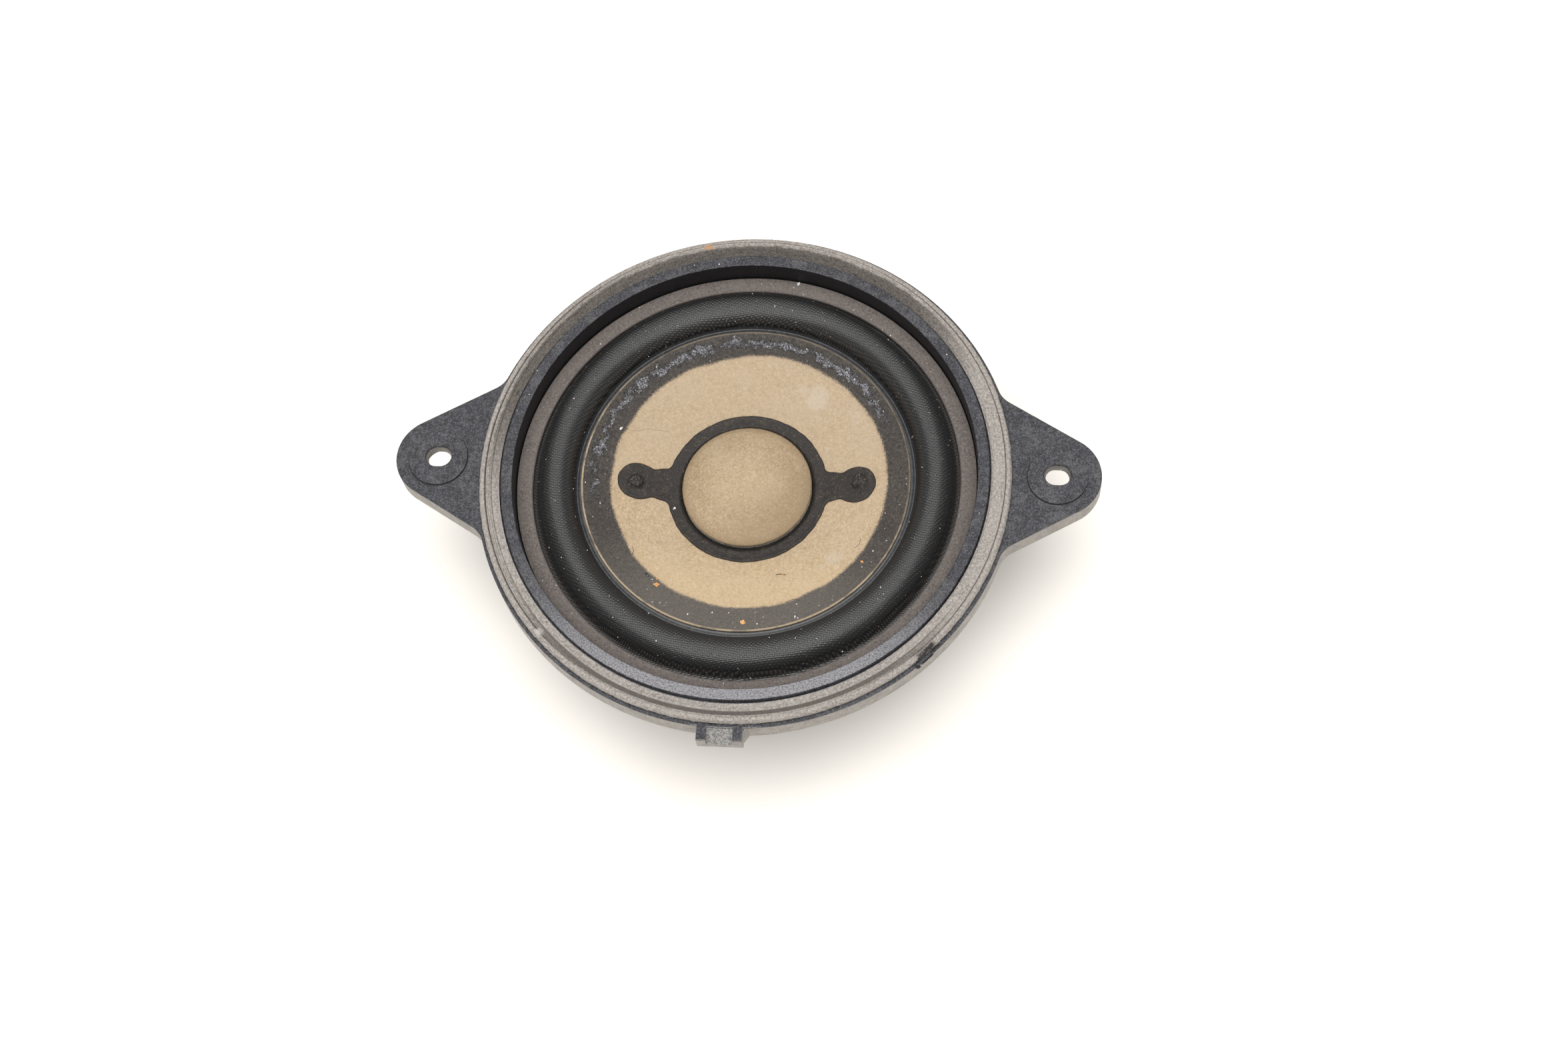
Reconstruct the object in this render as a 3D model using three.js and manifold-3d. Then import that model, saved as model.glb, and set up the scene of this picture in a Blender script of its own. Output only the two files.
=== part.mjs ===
// Four-inch class car midrange loudspeaker with a moulded two-ear frame.
// Millimetres, +Z up (the way the cone faces). The origin is the centre of the
// flat rear face of the motor cup, +X runs from ear to ear.
import * as THREE from "three";
import { mergeVertices } from "three/addons/utils/BufferGeometryUtils.js";
import Module from "manifold-3d";

const wasm = await Module();
wasm.setup();

// ---------------------------------------------------------------- dimensions
const SEG = 48;                 // facets round the large turned pieces
const SEG_IN = 36;              // facets round the coil, spider and motor

const RIM_TOP = 36.0;           // overall height, rear face to rim
const RIM_R_IN = 44.0;          // raised rim ring
const RIM_R_OUT = 46.2;
const FLANGE_R = 51.0;          // outer edge of the round flange
const FLANGE_TOP = 34.4;        // ledge the gasket lies on, and the ears' faces
const PLATE_T = 2.0;            // moulded wall of flange and ears
const SKIRT_BOTTOM = 29.8;      // lower edge of the skirt under flange and ears
const SKIRT_T = 2.0;

const EAR_X = 58.85;            // slot centre from the axis
const EAR_Y = 1.3;              // the ears' line lies a little off the axis
const EAR_R = 8.25;             // round end of an ear
const EAR_HALF_ANGLE = 30.5;    // degrees, side line against the ears' line
const EAR_FILLET = 5.0;         // root fillet into the round flange
const SLOT_LEN = 5.0;           // slot for a 4 mm screw, long way on X
const SLOT_W = 4.2;
const PAD_R = 5.65;             // raised face round each slot
const PAD_TOP = 34.75;

const SEAT_TOP = 29.3;          // step that carries the surround's edge
const SEAT_BOTTOM = 27.8;
const SEAT_R_IN = 40.2;

const CLAMP_R_IN = 40.75;       // flat ring over the surround's edge
const CLAMP_R_OUT = 43.75;
const CLAMP_TOP = 31.25;
const CLAMP_T = 0.9;

const CONE_R_IN = 12.75;        // paper cone, upper surface
const CONE_R_OUT = 31.4;
const CONE_Z0 = 27.1;           // upper surface height at r = CONE_R0
const CONE_R0 = 15.5;
const CONE_SLOPE = 0.3176;
const CONE_T = 0.5;             // measured along Z

const CAP_R = 12.4;             // dust cap
const CAP_EDGE_Z = 27.95;
const CAP_RISE = 3.6;
const CAP_T = 0.5;

const GLUE_R_OUT = 15.45;       // black adhesive ring with two lobes
const LOBE_X = 21.3;            // lobe centre
const LOBE_R = 3.65;
const LOBE_NECK = 3.1;          // half width of the neck
const GLUE_T = 0.45;

const ROLL_R_IN = 32.3;         // half-roll of the surround
const ROLL_R_OUT = 39.9;
const ROLL_Z = 30.9;
const ROLL_H = 4.2;
const ROLL_T = 0.5;

const FORMER_R_IN = 12.2;       // voice coil
const FORMER_R_OUT = 12.42;
const FORMER_Z0 = 8.2;
const FORMER_Z1 = 27.2;
const COIL_R_OUT = 13.1;
const COIL_Z0 = 9.2;
const COIL_Z1 = 15.2;

const SPIDER_R_OUT = 26.3;
const SPIDER_Z = 21.45;         // middle of the cloth
const SPIDER_T = 0.4;
const SPIDER_WAVE = 0.9;
const LEDGE_TOP = 21.0;         // ledge that carries the spider

const CUP_R = 18.0;             // steel cup of the motor
const CUP_R_IN = 13.7;
const CUP_H = 14.5;
const CUP_FLOOR = 4.0;
const MAGNET_R = 11.2;
const MAGNET_Z1 = 9.95;
const PLATE_R = 11.85;
const PLATE_Z0 = 10.2;
const PLATE_Z1 = 14.2;

const WINDOWS = 12;             // pitch of the openings in the bowl
const WINDOW_DEG = 17;
const WINDOW_R_IN = 29.6;
const WINDOW_R_OUT = 39.2;

const CONN_HALF_X = 9.0;        // plug socket under the flange, facing +Y
const CONN_Y0 = 32.5;
const CONN_Y1 = 46.0;
const CONN_Z0 = 15.7;
const CONN_Z1 = 26.8;
const SOCKET_HALF_X = 7.0;
const SOCKET_Y0 = 36.0;
const SOCKET_Z0 = 17.3;
const SOCKET_Z1 = 25.3;
const BLADE_X = 3.5;
const BLADE_W = 2.8;
const BLADE_Z0 = 23.2;
const BLADE_T = 0.8;
const BLADE_Y0 = 25.4;
const BLADE_Y1 = 44.0;

const CLIP_X0 = -5.1;           // locating clip on the flange, facing -Y
const CLIP_X1 = 3.4;
const CLIP_Y = -53.4;
const CLIP_Z0 = 30.7;
const CLIP_CHEEK = 1.8;

const LEAD_R = 0.45;            // tinsel lead

// ------------------------------------------------------------------- helpers
const rad = (deg) => (deg * Math.PI) / 180;
const coneTop = (r) => CONE_Z0 + CONE_SLOPE * (r - CONE_R0);

// position-only, welded, without degenerate triangles and facing outward
function clean(geometry) {
  const g = geometry.clone();
  for (const name of Object.keys(g.attributes)) if (name !== "position") g.deleteAttribute(name);
  const m = mergeVertices(g, 1e-4);
  const src = m.index.array;
  const pos = m.attributes.position;
  const keep = [];
  for (let i = 0; i < src.length; i += 3) {
    const [a, b, c] = [src[i], src[i + 1], src[i + 2]];
    if (a !== b && b !== c && a !== c) keep.push(a, b, c);
  }
  let volume = 0;
  const va = new THREE.Vector3(), vb = new THREE.Vector3(), vc = new THREE.Vector3();
  for (let i = 0; i < keep.length; i += 3) {
    va.fromBufferAttribute(pos, keep[i]);
    vb.fromBufferAttribute(pos, keep[i + 1]);
    vc.fromBufferAttribute(pos, keep[i + 2]);
    volume += va.dot(vb.cross(vc));
  }
  if (volume < 0) for (let i = 0; i < keep.length; i += 3) [keep[i + 1], keep[i + 2]] = [keep[i + 2], keep[i + 1]];
  const out = new THREE.BufferGeometry();
  out.setAttribute("position", new THREE.BufferAttribute(new Float32Array(pos.array), 3));
  out.setIndex(keep);
  return out;
}

function toManifold(geometry) {
  const g = clean(geometry);
  return new wasm.Manifold(new wasm.Mesh({
    numProp: 3,
    vertProperties: new Float32Array(g.attributes.position.array),
    triVerts: new Uint32Array(g.index.array),
  }));
}

function fromManifold(solid) {
  const mesh = solid.getMesh();
  const n = mesh.numProp;
  const xyz = new Float32Array((mesh.vertProperties.length / n) * 3);
  for (let i = 0; i < xyz.length / 3; i++) for (let k = 0; k < 3; k++) xyz[3 * i + k] = mesh.vertProperties[n * i + k];
  const g = new THREE.BufferGeometry();
  g.setAttribute("position", new THREE.BufferAttribute(xyz, 3));
  g.setIndex(Array.from(mesh.triVerts));
  return clean(g);
}

// a turned solid from a closed [r, z] outline
function turned(outline, seg = SEG) {
  const pts = outline.map(([r, z]) => new THREE.Vector2(r, z));
  if (outline.every(([r]) => r > 0)) pts.push(pts[0].clone());
  const g = new THREE.LatheGeometry(pts, seg);
  g.rotateX(Math.PI / 2);
  return clean(g);
}

// a plate from an [x, y] outline, between two heights
function slab(outline, z0, z1, holes = []) {
  const shape = new THREE.Shape(outline.map(([x, y]) => new THREE.Vector2(x, y)));
  for (const h of holes) shape.holes.push(new THREE.Path(h.map(([x, y]) => new THREE.Vector2(x, y))));
  const g = new THREE.ExtrudeGeometry(shape, { depth: z1 - z0, bevelEnabled: false, curveSegments: 1 });
  g.translate(0, 0, z0);
  return clean(g);
}

function block(x0, x1, y0, y1, z0, z1) {
  const g = new THREE.BoxGeometry(x1 - x0, y1 - y0, z1 - z0);
  g.translate((x0 + x1) / 2, (y0 + y1) / 2, (z0 + z1) / 2);
  return clean(g);
}

function arc(cx, cy, r, a0, a1, n) {
  const out = [];
  for (let i = 0; i <= n; i++) {
    const a = a0 + ((a1 - a0) * i) / n;
    out.push([cx + r * Math.cos(a), cy + r * Math.sin(a)]);
  }
  return out;
}

const group = new THREE.Group();
function add(name, geometry, color, roughness, metalness = 0) {
  const mesh = new THREE.Mesh(geometry, new THREE.MeshStandardMaterial({ color, roughness, metalness }));
  mesh.name = name;
  group.add(mesh);
  return mesh;
}

// ------------------------------------------- flange and ear outline (X-Y plane)
// One quarter: from the flange circle over the root fillet and the ear's side
// to its round end. grow moves the whole outline out (or in, when negative).
function flangeOutline(grow) {
  const R = FLANGE_R + grow, re = EAR_R + grow, rf = EAR_FILLET - grow;
  const a = rad(90 - EAR_HALF_ANGLE);
  const side = (s) => {
    // s = +1 upper side, -1 lower side of the right ear
    const n = [Math.cos(a), s * Math.sin(a)];
    const c = n[0] * EAR_X + n[1] * EAR_Y + re + rf;
    const rr = R + rf;
    const d = [-n[1], n[0]];
    const h = Math.sqrt(rr * rr - c * c);
    const p1 = [n[0] * c + d[0] * h, n[1] * c + d[1] * h];
    const p2 = [n[0] * c - d[0] * h, n[1] * c - d[1] * h];
    return { n, p: p1[0] > p2[0] ? p1 : p2 };
  };
  const up = side(1), lo = side(-1);
  const angleOf = (v) => Math.atan2(v[1], v[0]);
  const pts = [];
  // right ear, walked counter-clockwise from the lower root to the upper root
  const filletArc = (sd, reverse) => {
    let a0 = angleOf([-sd.p[0], -sd.p[1]]);
    let a1 = angleOf([-sd.n[0], -sd.n[1]]);
    while (a1 - a0 > Math.PI) a1 -= 2 * Math.PI;
    while (a1 - a0 < -Math.PI) a1 += 2 * Math.PI;
    const list = arc(sd.p[0], sd.p[1], rf, a0, a1, 4);
    return reverse ? list.reverse() : list;
  };
  const right = [
    ...filletArc(lo, false),
    ...arc(EAR_X, EAR_Y, re, -a, a, 12),
    ...filletArc(up, true),
  ];
  const upRoot = angleOf(up.p), loRoot = angleOf(lo.p);
  pts.push(...right);
  // far arc of the flange, from the right ear to the left ear
  pts.push(...arc(0, 0, R, upRoot, Math.PI - upRoot, 24).slice(1, -1));
  // left ear is the mirror image
  pts.push(...right.map(([x, y]) => [-x, y]).reverse());
  // near arc
  pts.push(...arc(0, 0, R, Math.PI - loRoot, 2 * Math.PI + loRoot, 24).slice(1, -1));
  return pts;
}

// ---------------------------------------------------------------------- basket
const disc = (r, n = SEG) => arc(0, 0, r, 0, 2 * Math.PI, n).slice(0, -1);
const outline = flangeOutline(0);
const inset = flangeOutline(-SKIRT_T);
let basket = toManifold(turned([
  [RIM_R_IN, RIM_TOP], [RIM_R_IN, SEAT_TOP], [SEAT_R_IN, SEAT_TOP], [SEAT_R_IN, SEAT_BOTTOM],
  [RIM_R_OUT, SEAT_BOTTOM], [RIM_R_OUT, RIM_TOP],
]));
// flange plate and skirt
basket = basket.add(toManifold(slab(outline, FLANGE_TOP - PLATE_T, FLANGE_TOP, [disc(RIM_R_OUT - 0.7).reverse()])));
basket = basket.add(toManifold(slab(outline, SKIRT_BOTTOM, FLANGE_TOP - PLATE_T + 0.2, [inset.slice().reverse()])));
// bowl between seat and spider ledge, with its openings
let bowl = toManifold(turned([
  [SEAT_R_IN + 0.1, SEAT_BOTTOM + 0.5], [43.9, SEAT_BOTTOM + 0.5], [43.9, SEAT_BOTTOM],
  [28.3, 19.5], [26.5, 19.5], [26.5, LEDGE_TOP],
]));
for (let k = 0; k < WINDOWS; k++) {
  const mid = 15 + (360 / WINDOWS) * k;
  if (Math.abs(mid - 90) < 20) continue;          // the plug socket sits here
  const a0 = rad(mid - WINDOW_DEG / 2), a1 = rad(mid + WINDOW_DEG / 2);
  const sector = [...arc(0, 0, WINDOW_R_IN, a0, a1, 3), ...arc(0, 0, WINDOW_R_OUT, a1, a0, 3)];
  bowl = bowl.subtract(toManifold(slab(sector, 15, 32)));
}
basket = basket.add(bowl);
// spider ledge and the collar that holds the motor cup
basket = basket.add(toManifold(turned([
  [18.3, 5.0], [20.8, 5.0], [20.8, 15.2], [28.4, 19.5], [28.4, 20.6], [27.0, LEDGE_TOP],
  [23.4, LEDGE_TOP], [19.5, 16.4], [14.3, 16.4], [14.3, CUP_H + 0.35], [18.3, CUP_H + 0.35],
])));
// plug socket
basket = basket.add(toManifold(block(-CONN_HALF_X, CONN_HALF_X, CONN_Y0, CONN_Y1, CONN_Z0, CONN_Z1)));
basket = basket.subtract(toManifold(block(-SOCKET_HALF_X, SOCKET_HALF_X, SOCKET_Y0, CONN_Y1 + 1, SOCKET_Z0, SOCKET_Z1)));
for (const s of [-1, 1]) {
  const x = s * BLADE_X;
  basket = basket.subtract(toManifold(block(x - BLADE_W / 2 - 0.3, x + BLADE_W / 2 + 0.3, 28.6, SOCKET_Y0 + 0.5,
    BLADE_Z0 - 0.3, BLADE_Z0 + BLADE_T + 0.3)));
}
// screw slots through the ears
for (const s of [-1, 1]) {
  const half = (SLOT_LEN - SLOT_W) / 2, r = SLOT_W / 2;
  const slot = [
    ...arc(s * EAR_X + half, EAR_Y, r, -Math.PI / 2, Math.PI / 2, 8),
    ...arc(s * EAR_X - half, EAR_Y, r, Math.PI / 2, (3 * Math.PI) / 2, 8),
  ];
  const pad = arc(s * EAR_X, EAR_Y - 0.35, PAD_R, 0, 2 * Math.PI, 40).slice(0, -1);
  basket = basket.add(toManifold(slab(pad, FLANGE_TOP - 0.5, PAD_TOP)));
  basket = basket.subtract(toManifold(slab(slot, 28, 37)));
}
// locating clip: two cheeks either side of a sloping middle face
{
  const y1 = -49.4;
  let clip = toManifold(block(CLIP_X0, CLIP_X1, CLIP_Y, y1, CLIP_Z0, FLANGE_TOP));
  const ramp = slab([[-50.6, 34.25], [-53.9, 31.8], [-53.9, 36], [-50.6, 36]],
    CLIP_X0 + CLIP_CHEEK, CLIP_X1 - CLIP_CHEEK);
  // the ramp outline is drawn as (y, z) and swept along x
  const g = new THREE.BufferGeometry();
  const p = ramp.attributes.position;
  const xyz = new Float32Array(p.count * 3);
  for (let i = 0; i < p.count; i++) {
    xyz[3 * i] = p.getZ(i); xyz[3 * i + 1] = p.getX(i); xyz[3 * i + 2] = p.getY(i);
  }
  g.setAttribute("position", new THREE.BufferAttribute(xyz, 3));
  g.setIndex(Array.from(ramp.index.array));
  clip = clip.subtract(toManifold(g));
  basket = basket.add(clip);
}
add("basket", fromManifold(basket), 0x474a55, 0.6);

// ---------------------------------------------------------- front side pieces
add("foam_gasket", turned([
  [46.5, FLANGE_TOP + 0.2], [46.5, 35.35], [48.0, 35.35], [49.2, 35.95], [50.05, 35.95], [50.25, 35.7],
  [50.25, FLANGE_TOP + 0.2],
]), 0x968c82, 0.95);

add("clamp_ring", turned([
  [CLAMP_R_IN, CLAMP_TOP - CLAMP_T], [CLAMP_R_OUT, CLAMP_TOP - CLAMP_T], [CLAMP_R_OUT, CLAMP_TOP], [CLAMP_R_IN, CLAMP_TOP],
]), 0x69615c, 0.9);

{
  // half-roll between an inner lip under the cone's edge and an outer lip
  const mid = (ROLL_R_IN + ROLL_R_OUT) / 2, w = (ROLL_R_OUT - ROLL_R_IN) / 2;
  const top = [], bottom = [];
  const lipIn = (r) => coneTop(r) - CONE_T - 0.25;
  top.push([29.2, lipIn(29.2)], [31.5, lipIn(31.5)]);
  bottom.push([29.2, lipIn(29.2) - ROLL_T], [31.5, lipIn(31.5) - ROLL_T - 0.1]);
  for (let i = 0; i <= 8; i++) {
    const a = Math.PI * (1 - i / 8);
    const wi = w, hi = ROLL_H;
    top.push([mid + wi * Math.cos(a), ROLL_Z + hi * Math.sin(a)]);
    bottom.push([mid + (wi - ROLL_T) * Math.cos(a) , ROLL_Z - 0.55 + (hi - 0.05) * Math.sin(a)]);
  }
  top.push([ROLL_R_OUT + 0.5, 30.05], [43.6, 30.05]);
  bottom.push([ROLL_R_OUT + 0.2, 29.55], [43.6, 29.55]);
  add("surround", turned([...top, ...bottom.reverse()]), 0x1c1c1e, 0.85);
}

add("cone", turned([
  [CONE_R_IN, coneTop(CONE_R_IN) - CONE_T], [CONE_R_OUT, coneTop(CONE_R_OUT) - CONE_T],
  [CONE_R_OUT, coneTop(CONE_R_OUT)], [CONE_R_IN, coneTop(CONE_R_IN)],
]), 0xcdb28c, 0.9);

{
  const top = [], bottom = [];
  for (let i = 0; i <= 5; i++) {
    const u = i / 5;
    top.push([CAP_R * u, CAP_EDGE_Z + CAP_RISE * (1 - u * u)]);
    bottom.push([(CAP_R - 0.4) * u, CAP_EDGE_Z - CAP_T + CAP_RISE * (1 - u * u)]);
  }
  add("dust_cap", turned([...top, ...bottom.reverse()], SEG_IN), 0xbea073, 0.9);
}

{
  // keyhole outline of the adhesive, cut out of a conical skin over the cone
  const join = rad(17);
  const key = [];
  for (const s of [1, -1]) {
    const flip = ([x, y]) => [s * x, s * y];
    const startA = -Math.PI + Math.asin(LOBE_NECK / LOBE_R) + 0.15;
    key.push(...arc(0, 0, GLUE_R_OUT, -Math.PI + join, -join, 22).slice(0, -1).map(flip));
    key.push(...[[GLUE_R_OUT * Math.cos(join) + 0.4, -GLUE_R_OUT * Math.sin(join) + 1.0]].map(flip));
    key.push(...arc(LOBE_X, 0.3, LOBE_R, startA, -startA, 12).map(flip));
    key.push(...[[GLUE_R_OUT * Math.cos(join) + 0.4, GLUE_R_OUT * Math.sin(join) - 1.0]].map(flip));
  }
  const skin = turned([
    [12.75, coneTop(12.75) + 0.25], [26, coneTop(26) + 0.25], [26, coneTop(26) + 0.25 + GLUE_T],
    [15.6, coneTop(15.6) + 0.25 + GLUE_T], [13.6, 27.75], [12.75, 28.0],
  ]);
  const shape = toManifold(slab(key, 20, 36));
  add("lead_adhesive", fromManifold(toManifold(skin).intersect(shape)), 0x35312f, 0.55);
}

for (const [name, s] of [["eyelet_left", -1], ["eyelet_right", 1]]) {
  const g = turned([[0, 0], [1.5, 0], [1.5, 0.3], [1.05, 0.75], [0, 0.95]], 16);
  const m = add(name, g, 0x3a3532, 0.45, 0.2);
  m.rotation.y = -s * Math.atan(CONE_SLOPE);
  m.position.set(s * LOBE_X, 0.3, coneTop(LOBE_X) + 0.25 + GLUE_T + 0.28);
}

// ------------------------------------------------------------- moving coil
add("voice_coil_former", turned([
  [FORMER_R_IN, FORMER_Z0], [FORMER_R_OUT, FORMER_Z0], [FORMER_R_OUT, FORMER_Z1], [FORMER_R_IN, FORMER_Z1],
], SEG_IN), 0xb9b4a6, 0.5);
add("voice_coil_winding", turned([
  [FORMER_R_OUT + 0.05, COIL_Z0], [COIL_R_OUT, COIL_Z0], [COIL_R_OUT, COIL_Z1], [FORMER_R_OUT + 0.05, COIL_Z1],
], SEG_IN), 0xb4642d, 0.35, 0.8);
add("former_collar", turned([
  [FORMER_R_OUT + 0.05, 23.2], [FORMER_R_OUT + 0.3, 23.2], [FORMER_R_OUT + 0.3, 25.6], [FORMER_R_OUT + 0.05, 25.6],
], SEG_IN), 0xa88658, 0.9);

{
  // corrugated spider from the former to the ledge
  const top = [], bottom = [];
  const r0 = 13.0, r1 = 23.6, waves = 3, n = 12;
  top.push([12.75, SPIDER_Z + 1.2], [13.0, SPIDER_Z + 1.2]);
  bottom.push([12.75, SPIDER_Z - SPIDER_T / 2]);
  for (let i = 1; i <= n; i++) {
    const u = i / n, r = r0 + (r1 - r0) * u;
    const z = SPIDER_Z - SPIDER_WAVE * Math.sin(u * waves * 2 * Math.PI) * (i === n ? 0 : 1);
    top.push([r, z + SPIDER_T / 2]);
    bottom.push([r, z - SPIDER_T / 2]);
  }
  top.push([SPIDER_R_OUT, SPIDER_Z + SPIDER_T / 2]);
  bottom.push([SPIDER_R_OUT, SPIDER_Z - SPIDER_T / 2]);
  add("spider", turned([...top, ...bottom.reverse()], SEG_IN), 0xb08a3c, 0.9);
}

// ------------------------------------------------------------------- motor
add("motor_cup", turned([
  [0, 0], [CUP_R - 0.8, 0], [CUP_R, 0.8], [CUP_R, CUP_H], [CUP_R_IN, CUP_H], [CUP_R_IN, CUP_FLOOR], [0, CUP_FLOOR],
], SEG_IN), 0x8a8c90, 0.4, 0.9);
add("magnet", turned([
  [0, CUP_FLOOR + 0.25], [MAGNET_R, CUP_FLOOR + 0.25], [MAGNET_R, MAGNET_Z1], [0, MAGNET_Z1],
], SEG_IN), 0xb8babd, 0.3, 0.9);
add("shorting_ring", turned([
  [MAGNET_R + 0.2, CUP_FLOOR + 0.25], [PLATE_R, CUP_FLOOR + 0.25], [PLATE_R, MAGNET_Z1], [MAGNET_R + 0.2, MAGNET_Z1],
], SEG_IN), 0xb87333, 0.35, 0.9);
add("pole_plate", turned([
  [0, PLATE_Z0], [PLATE_R, PLATE_Z0], [PLATE_R, PLATE_Z1], [0, PLATE_Z1],
], SEG_IN), 0x8a8c90, 0.4, 0.9);

// ---------------------------------------------------- terminals and tinsel leads
for (const [side, s] of [["left", -1], ["right", 1]]) {
  const x = s * BLADE_X;
  const tip = 0.35;
  const w = BLADE_W / 2;
  add(`terminal_${side}`, slab([
    [x - w, BLADE_Y0], [x + w, BLADE_Y0], [x + w, BLADE_Y1 - 1], [x + w - tip, BLADE_Y1],
    [x - w + tip, BLADE_Y1], [x - w, BLADE_Y1 - 1],
  ], BLADE_Z0, BLADE_Z0 + BLADE_T), 0xc9a24a, 0.35, 0.9);

  const zEnd = BLADE_Z0 + BLADE_T + 0.3 + LEAD_R;
  const zStart = coneTop(LOBE_X) - CONE_T - 0.35 - LEAD_R - 0.12;
  const path = new THREE.CatmullRomCurve3([
    [20.2, 0.3, zStart - 0.3], [21.9, 1.2, zStart - 0.65], [23.0, 4.6, 25.9], [22.4, 10.5, 24.9],
    [18.4, 17.6, 24.75], [11.6, 23.6, 24.95], [6.4, 26.2, zEnd + 0.15], [2.6, 26.7, zEnd],
  ].map(([px, py, pz]) => new THREE.Vector3(s * px, py, pz)));
  const section = new THREE.Shape(arc(0, 0, LEAD_R, 0, 2 * Math.PI, 8).slice(0, -1).map(([a, b]) => new THREE.Vector2(a, b)));
  const g = new THREE.ExtrudeGeometry(section, { steps: 20, extrudePath: path, bevelEnabled: false });
  add(`tinsel_lead_${side}`, clean(g), 0xa8603a, 0.45, 0.5);
}

export default group;
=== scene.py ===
# Car midrange speaker: the looks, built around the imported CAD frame.
import bpy
import bmesh
import math
import numpy as np
from mathutils import Matrix, Vector


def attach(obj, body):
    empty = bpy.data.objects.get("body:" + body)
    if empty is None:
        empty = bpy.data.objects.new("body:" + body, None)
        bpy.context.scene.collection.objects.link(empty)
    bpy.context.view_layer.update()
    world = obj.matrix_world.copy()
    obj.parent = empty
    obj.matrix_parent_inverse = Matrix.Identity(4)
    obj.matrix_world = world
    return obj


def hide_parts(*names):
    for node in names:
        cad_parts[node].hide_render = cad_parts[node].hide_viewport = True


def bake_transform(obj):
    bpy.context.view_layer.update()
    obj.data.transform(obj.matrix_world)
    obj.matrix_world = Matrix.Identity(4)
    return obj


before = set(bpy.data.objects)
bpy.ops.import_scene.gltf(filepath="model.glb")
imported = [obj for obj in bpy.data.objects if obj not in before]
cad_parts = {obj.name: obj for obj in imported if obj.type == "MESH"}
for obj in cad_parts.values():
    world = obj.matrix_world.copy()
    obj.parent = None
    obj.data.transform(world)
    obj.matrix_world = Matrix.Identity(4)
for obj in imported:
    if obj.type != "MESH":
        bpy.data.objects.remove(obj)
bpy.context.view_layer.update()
scene = bpy.context.scene
MM = 0.001
RNG = np.random.default_rng(20)

# ---------------------------------------------------------------- dimensions, mm
RIM_TOP, RIM_IN, RIM_OUT = 36.0, 44.0, 46.2
FL_R, FL_TOP, FL_T, SKIRT_Z, SKIRT_T = 51.0, 34.4, 2.0, 29.8, 2.0
EAR_X, EAR_Y, EAR_R, EAR_FILLET, EAR_DEG = 58.85, 1.3, 8.25, 5.0, 30.5
SLOT_L, SLOT_W, PAD_R, PAD_H = 5.0, 4.2, 5.65, 0.36
SEAT_TOP, SEAT_BOT, SEAT_IN = 29.3, 27.8, 40.2
CLAMP_IN, CLAMP_OUT, CLAMP_TOP = 40.75, 43.85, 31.25
CONE_IN, CONE_OUT = 12.75, 31.4
CAP_R, CAP_Z, CAP_RISE = 12.45, 27.98, 3.6
STAIN_R = 26.3


def cone_top(r):
    return 27.1 + 0.3176 * (np.asarray(r, float) - 15.5)


# ------------------------------------------------------------------ mesh helpers
def new_mesh(name, verts, faces, smooth=True, recalc=True):
    me = bpy.data.meshes.new(name)
    me.from_pydata((np.asarray(verts, float) * MM).tolist(), [], [tuple(int(i) for i in f) for f in faces])
    me.update()
    ob = bpy.data.objects.new(name, me)
    scene.collection.objects.link(ob)
    if recalc:
        bm = bmesh.new()
        bm.from_mesh(me)
        bmesh.ops.recalc_face_normals(bm, faces=bm.faces)
        bm.to_mesh(me)
        bm.free()
    if smooth:
        me.polygons.foreach_set("use_smooth", [True] * len(me.polygons))
    return ob


def grid_faces(nu, nv, close_u=True, close_v=True, base=0):
    f = []
    for i in range(nu if close_u else nu - 1):
        a = base + i * nv
        b = base + ((i + 1) % nu) * nv
        for j in range(nv if close_v else nv - 1):
            k = (j + 1) % nv
            f.append((a + j, b + j, b + k, a + k))
    return f


def sharpen(ob, deg=38.0, weighted=True):
    ob.data.polygons.foreach_set("use_smooth", [True] * len(ob.data.polygons))
    ob.data.set_sharp_from_angle(angle=math.radians(deg))
    if weighted:
        m = ob.modifiers.new("weighted", "WEIGHTED_NORMAL")
        m.keep_sharp = True
        m.weight = 80


def fillet(poly, rad, n=4):
    """rounds the corners of a closed outline; rad is one radius or one per corner"""
    out = []
    m = len(poly)
    for i in range(m):
        p, q, s = (np.array(poly[k % m], float) for k in (i - 1, i, i + 1))
        r = rad[i] if isinstance(rad, (list, tuple)) else rad
        a, b = p - q, s - q
        la, lb = np.hypot(*a), np.hypot(*b)
        a, b = a / la, b / lb
        ang = math.acos(max(-1.0, min(1.0, float(a @ b))))
        if r <= 0 or ang > math.pi - 0.05:
            out.append(q)
            continue
        d = min(r / math.tan(ang / 2), 0.45 * la, 0.45 * lb)
        rr = d * math.tan(ang / 2)
        c = q + (a + b) / np.linalg.norm(a + b) * (rr / math.sin(ang / 2))
        t0, t1 = q + a * d - c, q + b * d - c
        a0, a1 = math.atan2(t0[1], t0[0]), math.atan2(t1[1], t1[0])
        da = (a1 - a0 + math.pi) % (2 * math.pi) - math.pi
        for k in range(n + 1):
            t = a0 + da * k / n
            out.append(c + rr * np.array([math.cos(t), math.sin(t)]))
    return np.array(out)


def densify(poly, step, closed=True):
    out = []
    m = len(poly)
    for i in range(m if closed else m - 1):
        p, q = np.array(poly[i], float), np.array(poly[(i + 1) % m], float)
        k = max(1, int(math.ceil(np.hypot(*(q - p)) / step)))
        for t in range(k):
            out.append(p + (q - p) * t / k)
    if not closed:
        out.append(np.array(poly[-1], float))
    return np.array(out)


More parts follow.
